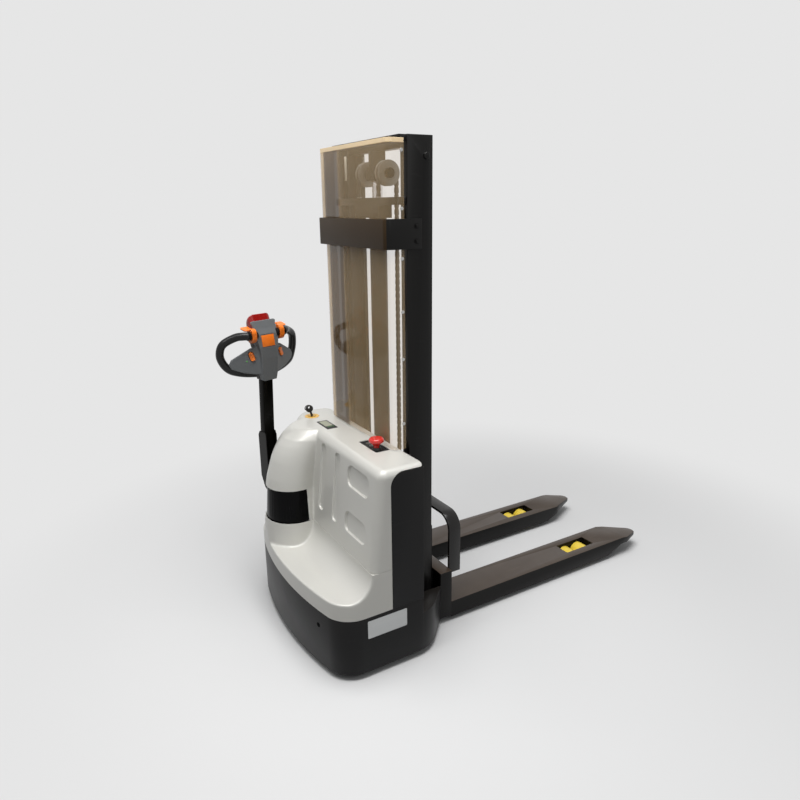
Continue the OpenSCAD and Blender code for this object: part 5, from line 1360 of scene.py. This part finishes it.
@dataclass
class Steelwork:
    """Welded and bolted steel: chassis, mast, carriage, forks and hoop.

    An anchor has its name, body, depth and the heights of its two ends. A
    machined node has its finish and the width of its softened edges.
    """

    # Ends of the near-black disc that paints the shade in the skirt's hole.
    shade_disc_out: Point = (0.27165, -0.51510, 0.18984)
    shade_disc_in: Point = (0.27077, -0.51060, 0.18984)
    plate: tuple = ((0.4138, -0.382, 0.165), (0.4146, -0.217, 0.2375))
    rivet_y: tuple = (-0.376, -0.223)
    rivet_z: tuple = (0.171, 0.2315)
    bracket_screws: tuple = ((0.274, -0.078, 1.556), (0.274, -0.078, 1.607))
    heel: tuple = ((0.150, 0.0775, 0.0935), (0.278, 0.0775, 0.0935))
    bulkhead_screws: tuple = ((-0.36, 0.36), -0.141, (0.30, 0.52, 0.75))
    weld_x: tuple = (0.180, 0.226)
    weld_y: float = 0.0215
    weld_z: tuple = (0.1, 0.23)
    anchor_x: tuple = (-0.075, 0.075)
    anchors_at: tuple = (("rear_anchors", "chassis", -0.1153, 1.640, 1.706),
                         ("front_anchors", "carriage", -0.0407, 0.300, 0.352))
    machined: dict = field(default_factory=lambda: {
        "base_frame": (Finishes.POWDER, 0.0016), "support_leg_left": (Finishes.FORK, 0.0016),
        "support_leg_right": (Finishes.FORK, 0.0016), "roller_axles": (Finishes.STEEL, 0.0008),
        "outer_mast": (Finishes.MAST, 0.0022), "mast_bracket": (Finishes.BRACKET, 0.0015),
        "guard_screws": (Finishes.STEEL, 0.0006), "side_panel_left": (Finishes.POWDER, 0.0008),
        "side_panel_right": (Finishes.POWDER, 0.0008), "front_bulkhead": (Finishes.POWDER, 0.0006),
        "lift_cylinder": (Finishes.MAST, 0.001), "cylinder_clamp": (Finishes.MAST, 0.0015),
        "inner_mast": (Finishes.MAST, 0.002), "piston_rod": (Finishes.CHROME, 0.0006),
        "crosshead": (Finishes.MAST, 0.0015), "fork_carriage": (Finishes.POWDER, 0.0016),
        "fork_left": (Finishes.FORK, 0.0024), "fork_right": (Finishes.FORK, 0.0024),
        "load_hoop": (Finishes.HOOP, 0.0024), "pulley_left": (Finishes.PULLEY, 0.0008),
        "pulley_right": (Finishes.PULLEY, 0.0008), "upper_slide_pads": (Finishes.NYLON, 0.0006),
        "lower_slide_pads": (Finishes.NYLON, 0.0006), "upper_guard": (Finishes.CLEAR, 0.0008),
        "lower_guard": (Finishes.CLEAR, 0.0008)})

    def screws(self, name: str, spots: Sequence[Point], axis: Point, radius: float, height: float) -> Piece:
        """Model one hexagon screw head with its washer and copy it to every spot.

        Args:
            name: Name of the joined piece.
            spots: Where each washer touches its face.
            axis: Direction in which the heads stand.
            radius: Radius of a washer.
            height: Height of a head above its face.

        Returns:
            All heads as one piece.
        """
        washer = Workshop.bar("washer", (0, 0, 0), (0, 0, height * 0.22), radius, 28)
        head = Workshop.bar("head", (0, 0, height * 0.2), (0, 0, height), radius * 0.74, 6)
        Workshop.round_edges(head, lambda a, b: min(a.z, b.z) > height * 0.95, height * 0.12, 2)
        model = Workshop.join([washer, head], "screw_model")
        turn = Vector(axis).to_track_quat("Z", "Y").to_matrix().to_4x4()
        copies = [Workshop.duplicate(model, Matrix.Translation(spot) @ turn) for spot in spots]
        bpy.data.objects.remove(model)
        return Workshop.join(copies, name)

    def welds(self, name: str, runs: Sequence[tuple[Point, Point]], radius: float) -> Piece:
        """Lay rippled weld beads along straight runs."""
        beads = []
        ripple = bpy.data.textures.new("weld_ripple", "CLOUDS")
        ripple.noise_scale = 0.006
        for start, end in runs:
            count = max(2, int((Vector(end) - Vector(start)).length / 0.0035))
            route = [Vector(start).lerp(Vector(end), k / count) for k in range(count + 1)]
            bead = Workshop.tube("bead", route, radius, 2)
            Workshop.modify(bead, "DISPLACE", texture=ripple, texture_coords="LOCAL", strength=radius * 0.5)
            beads.append(bead)
        return Workshop.join(beads, name)

    def fittings(self, depot: Depot) -> None:
        """Add screws, welds, the bare plate, its rivets and the near-black disc that paints the shade in the
        skirt's hole.
        """
        for side, word in ((1, "right"), (-1, "left")):
            name = f"bracket_screws_{word}"
            spots = [(side * x, y, z) for x, y, z in self.bracket_screws]
            piece = self.screws(name, spots, (side, 0, 0), 0.010, 0.005)
            depot.deliver(piece, name, "chassis", Finishes.MAST)
        across, y, heights = self.bulkhead_screws
        spots = [(x, y, z) for x in across for z in heights]
        piece = self.screws("bulkhead_screws", spots, (0, 1, 0), 0.009, 0.006)
        depot.deliver(piece, "bulkhead_screws", "chassis", Finishes.STEEL)
        runs = [[(side * x, y, z) for x, y, z in self.heel] for side in SIDES]
        piece = self.welds("heel_welds", runs, 0.004)
        depot.deliver(piece, "heel_welds", "carriage", Finishes.POWDER, angle=WELD_ANGLE)
        runs = [[(side * x, self.weld_y, z) for z in self.weld_z] for side in SIDES for x in self.weld_x]
        piece = self.welds("carriage_welds", runs, 0.003)
        depot.deliver(piece, "carriage_welds", "carriage", Finishes.POWDER, angle=WELD_ANGLE)
        plate = Workshop.slab("plate", *self.plate, "x", 0.004, 4)
        depot.deliver(plate, "bare_rating_plate", "chassis", Finishes.PLATE)
        rivets = [Workshop.cone("rivet", (0.4144, y, z), (0.4158, y, z), 0.0026, 0.0016, 16)
                  for y in self.rivet_y for z in self.rivet_z]
        piece = Workshop.join(rivets, "rivets")
        depot.deliver(piece, "plate_rivets", "chassis", Finishes.STEEL, angle=MOULD_ANGLE)
        # A near-black disc is painted shade for the dark inside of the skirt's hole.
        shade_disc = Workshop.bar("shade_disc", self.shade_disc_in, self.shade_disc_out, 0.0092, 40)
        Workshop.round_edges(shade_disc, lambda a, b: max(a.y, b.y) < self.shade_disc_out[1] + 0.0003, 0.0006, 2)
        depot.deliver(shade_disc, "skirt_hole_shade_disc", "chassis", Finishes.PIT)

    def anchors(self, depot: Depot) -> None:
        """Add the threaded chain anchors behind the mast and on the carriage."""
        for name, body, y, low, high in self.anchors_at:
            parts = []
            for x in self.anchor_x:
                parts.append(Workshop.bar("stud", (x, y, low), (x, y, high - 0.012), 0.005, 24))
                foot, head = (x - 0.0085, y - 0.006, high - 0.014), (x + 0.0085, y + 0.006, high)
                parts.append(Workshop.block("clevis", foot, head))
                for z in (low + 0.006, low + 0.016):
                    parts.append(Workshop.bar("nut", (x, y, z), (x, y, z + 0.008), 0.0095, 6))
            piece = Workshop.soften(Workshop.join(parts, name), 0.0007)
            depot.deliver(piece, name, body, Finishes.STEEL)

    def build(self, depot: Depot) -> None:
        """Take the steel parts over and add their fittings."""
        for node, (finish, edge) in self.machined.items():
            piece = depot.take_over(node, finish, edge)
            # The bracket's rear band and the tops of forks and legs keep a brown that is painted light; the
            # faces picked here get the mast's black.
            if node == "mast_bracket":
                self.split_lit_and_shaded(piece, depot, lambda c, n: abs(c.x) > 0.262 and n.y > -0.7)
            elif finish is Finishes.FORK:
                self.split_lit_and_shaded(piece, depot, lambda c, n: n.z < 0.5)
        self.fittings(depot)
        self.anchors(depot)

    @staticmethod
    def split_lit_and_shaded(piece: Piece, depot: Depot, wanted: Test) -> None:
        """Paint the faces whose middle and normal pass a test in the mast's black; the other faces keep the
        piece's brown, which is painted light.
        """
        piece.data.materials.append(depot.material(Finishes.MAST))
        for face in piece.data.polygons:
            face.material_index = int(wanted(face.center, face.normal))


@dataclass
class RunningGear:
    """Wheels, rollers, steering unit and what stands inside the power unit."""

    cap_face: float = 0.035
    cap_radius: float = 0.023
    cap_bore: float = 0.0102
    units: dict = field(default_factory=lambda: {
        "battery_pack": (Finishes.BATTERY, 0.004), "pump_unit": (Finishes.UNIT, 0.002),
        "motor_controller": (Finishes.CONTROLLER, 0.001), "turntable_ring": (Finishes.STEEL, 0.001),
        "caster_fork": (Finishes.STEEL, 0.001), "caster_wheel": (Finishes.TREAD, 0.001),
        "drive_unit": (Finishes.CASTING, 0.002), "steering_band": (Finishes.BAND, 0.0008),
        "drive_hub": (Finishes.CASTING, 0.001), "drive_tyre": (Finishes.TREAD, 0.001)})

    def cap(self, middle: Vector, side: int) -> Piece:
        """Build the ring that closes one end of a load roller."""
        face = middle + Vector((side * self.cap_face, 0, 0))
        out = Vector((side, 0, 0))
        ring = Workshop.bar("ring", face - 0.001 * out, face + 0.0012 * out, self.cap_radius, 40)
        hole = Workshop.bar("hole", face - 0.004 * out, face + 0.004 * out, self.cap_bore, 40)
        return Workshop.work(ring, hole)

    def build(self, depot: Depot) -> None:
        """Take the running gear over and add the rollers' end caps."""
        for node, (finish, edge) in self.units.items():
            depot.take_over(node, finish, edge)
        for index in range(1, 5):
            node = f"load_roller_{index}"
            depot.take_over(node, Finishes.YELLOW, 0.0015)
            low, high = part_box(node)
            caps = Workshop.join([self.cap((low + high) / 2, side) for side in SIDES], "caps")
            depot.deliver(caps, f"roller_caps_{index}", f"roller_{index}", Finishes.STEEL)


@dataclass
class TopFittings:
    """Key switch, display and emergency stop on the upper cover."""

    top: float = 0.800
    key_place: Point = (-0.304, -0.257, 0.800)
    bow_radius: float = 0.0162
    ring_radius: float = 0.0120
    stop_place: Point = (0.195, -0.212, 0.800)
    stop_radius: float = 0.029
    screen: tuple = ((-0.206, -0.269, 0.8016), (-0.136, -0.235, 0.8026))
    lamp_place: Point = (-0.126, -0.262, 0.8016)
    lamp_step: float = 0.008
    socket_x: tuple = (0.118, 0.146)
    socket_y: float = -0.205

    @staticmethod
    def post(
        name: str, place: Point, low: float, high: float, radii: tuple[float, float], sides: int
    ) -> Piece:
        """Stand a round bar or cone between two heights over a place on the cover.

        Args:
            name: Name of the new piece.
            place: The place.
            low: Height of its foot over the place.
            high: Height of its head over the place.
            radii: Radius of its foot and of its head.
            sides: Number of sides.

        Returns:
            The new piece.
        """
        spot = Vector(place)
        return Workshop.cone(name, spot + low * UP, spot + high * UP, *radii, sides)

    def key(self, depot: Depot) -> None:
        """Build the key: barrel, flat bow with its hole, and the ring through it."""
        barrel = self.post("barrel", self.key_place, -0.018, 0.008, (0.005, 0.005), 32)
        place = Vector(self.key_place)
        foot, eye = place + Vector((0, 0, 0.004)), place + Vector((-0.004, -0.009, 0.034))
        neck = Workshop.bar("neck", foot, foot.lerp(eye, 0.7), 0.0048, 24)
        across = Vector((0.001, 0, 0))
        bow = Workshop.bar("bow", eye - 3 * across, eye + 3 * across, self.bow_radius, 48)
        hole = eye + Vector((0, -0.002, 0.006))
        Workshop.work(bow, Workshop.bar("eye", hole - 10 * across, hole + 10 * across, 0.0050, 32))
        Workshop.soften(bow, 0.0012, 3)
        route = []
        for k in range(49):
            turn = 2 * math.pi * k / 48
            swing = Vector((0.005 * math.sin(turn), -0.006 + self.ring_radius * math.cos(turn), 0))
            route.append(hole + swing + self.ring_radius * math.sin(turn) * UP)
        ring = Workshop.tube("ring", route, 0.0019, 3)
        piece = Workshop.join([bow, barrel, neck, ring], "key")
        depot.deliver(piece, "key_and_ring", "key", Finishes.KEY, ["ignition_key"])
        bezel = self.post("bezel", self.key_place, -0.001, 0.0016, (0.0310, 0.0310), 72)
        Workshop.work(bezel, self.post("room", self.key_place, -0.01, 0.01, (0.0185, 0.0185), 48))
        depot.deliver(Workshop.soften(bezel, 0.0006), "key_bezel", "chassis", Finishes.BEZEL)

    def stop_button(self, depot: Depot) -> None:
        """Build the mushroom button: stem, flared neck and domed head."""
        place, top = self.stop_place, self.top
        stem = self.post("stem", place, -0.024, 0.013, (0.0110, 0.0110), 48)
        neck = self.post("neck", place, 0.0128, 0.027, (0.0122, 0.0215), 64)
        head = self.post("head", place, 0.025, 0.043, (self.stop_radius, self.stop_radius), 72)
        Workshop.round_edges(head, lambda a, b: min(a.z, b.z) > top + 0.0425, 0.010, 8)
        Workshop.round_edges(head, lambda a, b: max(a.z, b.z) < top + 0.0255, 0.006, 5)
        piece = Workshop.join([head, neck, stem], "stop")
        depot.deliver(piece, "stop_button", "estop", Finishes.RED, ["estop_button"])
        collar = self.post("collar", place, -0.0058, 0.0055, (0.020, 0.0155), 64)
        Workshop.work(collar, self.post("room", place, -0.01, 0.01, (0.0122, 0.0122), 64))
        depot.deliver(Workshop.soften(collar, 0.0012), "stop_collar", "chassis", Finishes.KEY)

    def build(self, depot: Depot) -> None:
        """Take the fittings over and add the display, its lamps and the sockets."""
        depot.take_over("key_switch", Finishes.BRASS)
        self.key(depot)
        self.stop_button(depot)
        depot.take_over("control_panel", Finishes.PANEL, 0.0008)
        screen = Workshop.slab("screen", *self.screen, "z", 0.003, 4)
        depot.deliver(screen, "display_screen", "chassis", Finishes.SCREEN)
        x, y, z = self.lamp_place
        spots = [(x, y + self.lamp_step * k, z) for k in range(4)]
        lamps = [self.post("lamp", spot, 0.0, 0.0012, (0.0022, 0.0022), 20) for spot in spots]
        depot.deliver(Workshop.join(lamps, "lamps"), "display_lamps", "chassis", Finishes.LAMP)
        sockets = []
        for x in self.socket_x:
            spot = (x, self.socket_y, self.top)
            ring = self.post("socket", spot, -0.007, -0.0035, (0.010, 0.010), 32)
            hole = self.post("hole", spot, -0.0055, 0.0, (0.0068, 0.0068), 32)
            sockets.append(Workshop.work(ring, hole))
        depot.deliver(Workshop.join(sockets, "sockets"), "panel_sockets", "chassis", Finishes.STEEL)


@dataclass
class Studio:
    """Pale floor, soft lamps and the camera at the photograph's place.

    A lamp has its name, place, target, size and power.
    """

    azimuth: float = 59.29
    pitch: float = 16.54
    roll: float = 0.64
    lens: float = 29.49
    place: Point = (2.22806, -1.31442, 1.67523)
    shade: Colour = linear(230, 230, 230)
    lit_shade: Colour = linear(226, 226, 226)
    bounce: Colour = linear(124, 123, 121)
    sky_tint: Colour = (0.98, 0.99, 1.0)
    sky: float = 0.23
    middle_y: float = 0.3
    fade_from: float = 0.9
    fade_to: float = 2.4
    lamps: tuple = (("overhead", (0.55, -0.45, 4.4), (0, 0.0, 0.6), 2.6, 170.0),
                    ("rear_key", (0.5, -2.4, 3.6), (0, -0.2, 0.7), 0.8, 14.0),
                    ("side_fill", (3.4, 0.2, 3.0), (0, 0, 0.8), 0.8, 6.0))

    def camera(self) -> None:
        """Place the camera that sees the machine as the photograph does."""
        a, p, r = (math.radians(v) for v in (self.azimuth, self.pitch, self.roll))
        ahead = Vector((-math.sin(a) * math.cos(p), math.cos(a) * math.cos(p), -math.sin(p)))
        right = Vector((math.cos(a), math.sin(a), 0))
        down = ahead.cross(right)
        across = math.cos(r) * right + math.sin(r) * down
        below = -math.sin(r) * right + math.cos(r) * down
        data = bpy.data.cameras.new("camera")
        data.lens = self.lens
        data.sensor_width = 36.0
        data.clip_end = 100.0
        seat = bpy.data.objects.new("camera", data)
        bpy.context.scene.collection.objects.link(seat)
        axes = Matrix((across, -below, -ahead)).transposed().to_4x4()
        seat.matrix_world = Matrix.Translation(self.place) @ axes
        bpy.context.scene.camera = seat

    @staticmethod
    def lamp(name: str, spot: Point, target: Point, size: float, power: float) -> None:
        """Hang a square soft lamp that faces a target."""
        data = bpy.data.lights.new(name, "AREA")
        data.shape = "SQUARE"
        data.size = size
        data.energy = power
        seat = bpy.data.objects.new(name, data)
        bpy.context.scene.collection.objects.link(seat)
        seat.location = spot
        seat.rotation_euler = (Vector(target) - Vector(spot)).to_track_quat("-Z", "Y").to_euler()

    @staticmethod
    def seen(tree: Tree) -> Socket:
        """Tell camera, glossy and transmission rays from the rays that only light."""
        path = add_node(tree, "LightPath").outputs
        mirrored = maths(tree, "MAXIMUM", path["Is Camera Ray"], path["Is Glossy Ray"])
        return maths(tree, "MAXIMUM", mirrored, path["Is Transmission Ray"])

    def world(self) -> None:
        """Show a pale backdrop and light the machine with a plain, lower level."""
        world = bpy.data.worlds.new("studio")
        bpy.context.scene.world = world
        world.use_nodes = True
        tree = world.node_tree
        shown = add_node(tree, "Background", {"Color": (*self.shade, 1)})
        light = feed(tree.nodes["Background"], {"Color": (*self.sky_tint, 1), "Strength": self.sky})
        inputs = {"Fac": self.seen(tree), 1: light.outputs[0], 2: shown.outputs[0]}
        feed(tree.nodes["World Output"], {"Surface": add_node(tree, "MixShader", inputs).outputs[0]})

    def floor(self) -> None:
        """Lay a pale floor that fades into the backdrop away from the machine."""
        place = (0, 0, -0.0005)
        bpy.ops.mesh.primitive_circle_add(vertices=96, radius=30.0, fill_type="NGON", location=place)
        piece = bpy.context.active_object
        piece.name = "studio_floor"
        Workshop.settle(piece)
        made = bpy.data.materials.new("pale_floor")
        made.use_nodes = True
        tree = made.node_tree
        seen = self.seen(tree)
        tint = blend(tree, seen, (*self.bounce, 1), (*self.lit_shade, 1))
        shader = tree.nodes["Principled BSDF"]
        feed(shader, {"Base Color": tint, "Roughness": 0.9, "Specular IOR Level": 0.0})
        where = {"Vector": add_node(tree, "TexCoord").outputs["Object"], "Location": (0, -self.middle_y, 0)}
        spot = add_node(tree, "Mapping", where).outputs["Vector"]
        reach = add_node(tree, "VectorMath", {0: spot}, operation="LENGTH").outputs["Value"]
        fade = ramp(tree, reach, self.fade_from, self.fade_to, interpolation_type="SMOOTHSTEP")
        glow = add_node(tree, "Emission", {"Color": (*self.shade, 1)})
        inputs = {"Fac": maths(tree, "MULTIPLY", fade, seen), 1: shader.outputs[0], 2: glow.outputs[0]}
        feed(tree.nodes["Material Output"], {"Surface": add_node(tree, "MixShader", inputs).outputs[0]})
        piece.data.materials.append(made)

    def build(self) -> None:
        """Set the stage."""
        bpy.context.scene.view_settings.view_transform = "Standard"
        self.camera()
        self.world()
        self.floor()
        for lamp in self.lamps:
            self.lamp(*lamp)


def main() -> None:
    """Build every sub-assembly in order."""
    logging.basicConfig(level=logging.INFO, format="%(message)s")
    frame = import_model()
    depot = Depot(frame)
    Studio().build()
    for assembly in (Steelwork, LeafChain, RunningGear, UpperCover, LowerCover, TopFittings, TillerHead):
        assembly().build(depot)
        log.info("%s finished", assembly.__name__)
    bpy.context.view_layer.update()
    log.info("%d pieces handed over", depot.count)


if __name__ == "__main__":
    main()
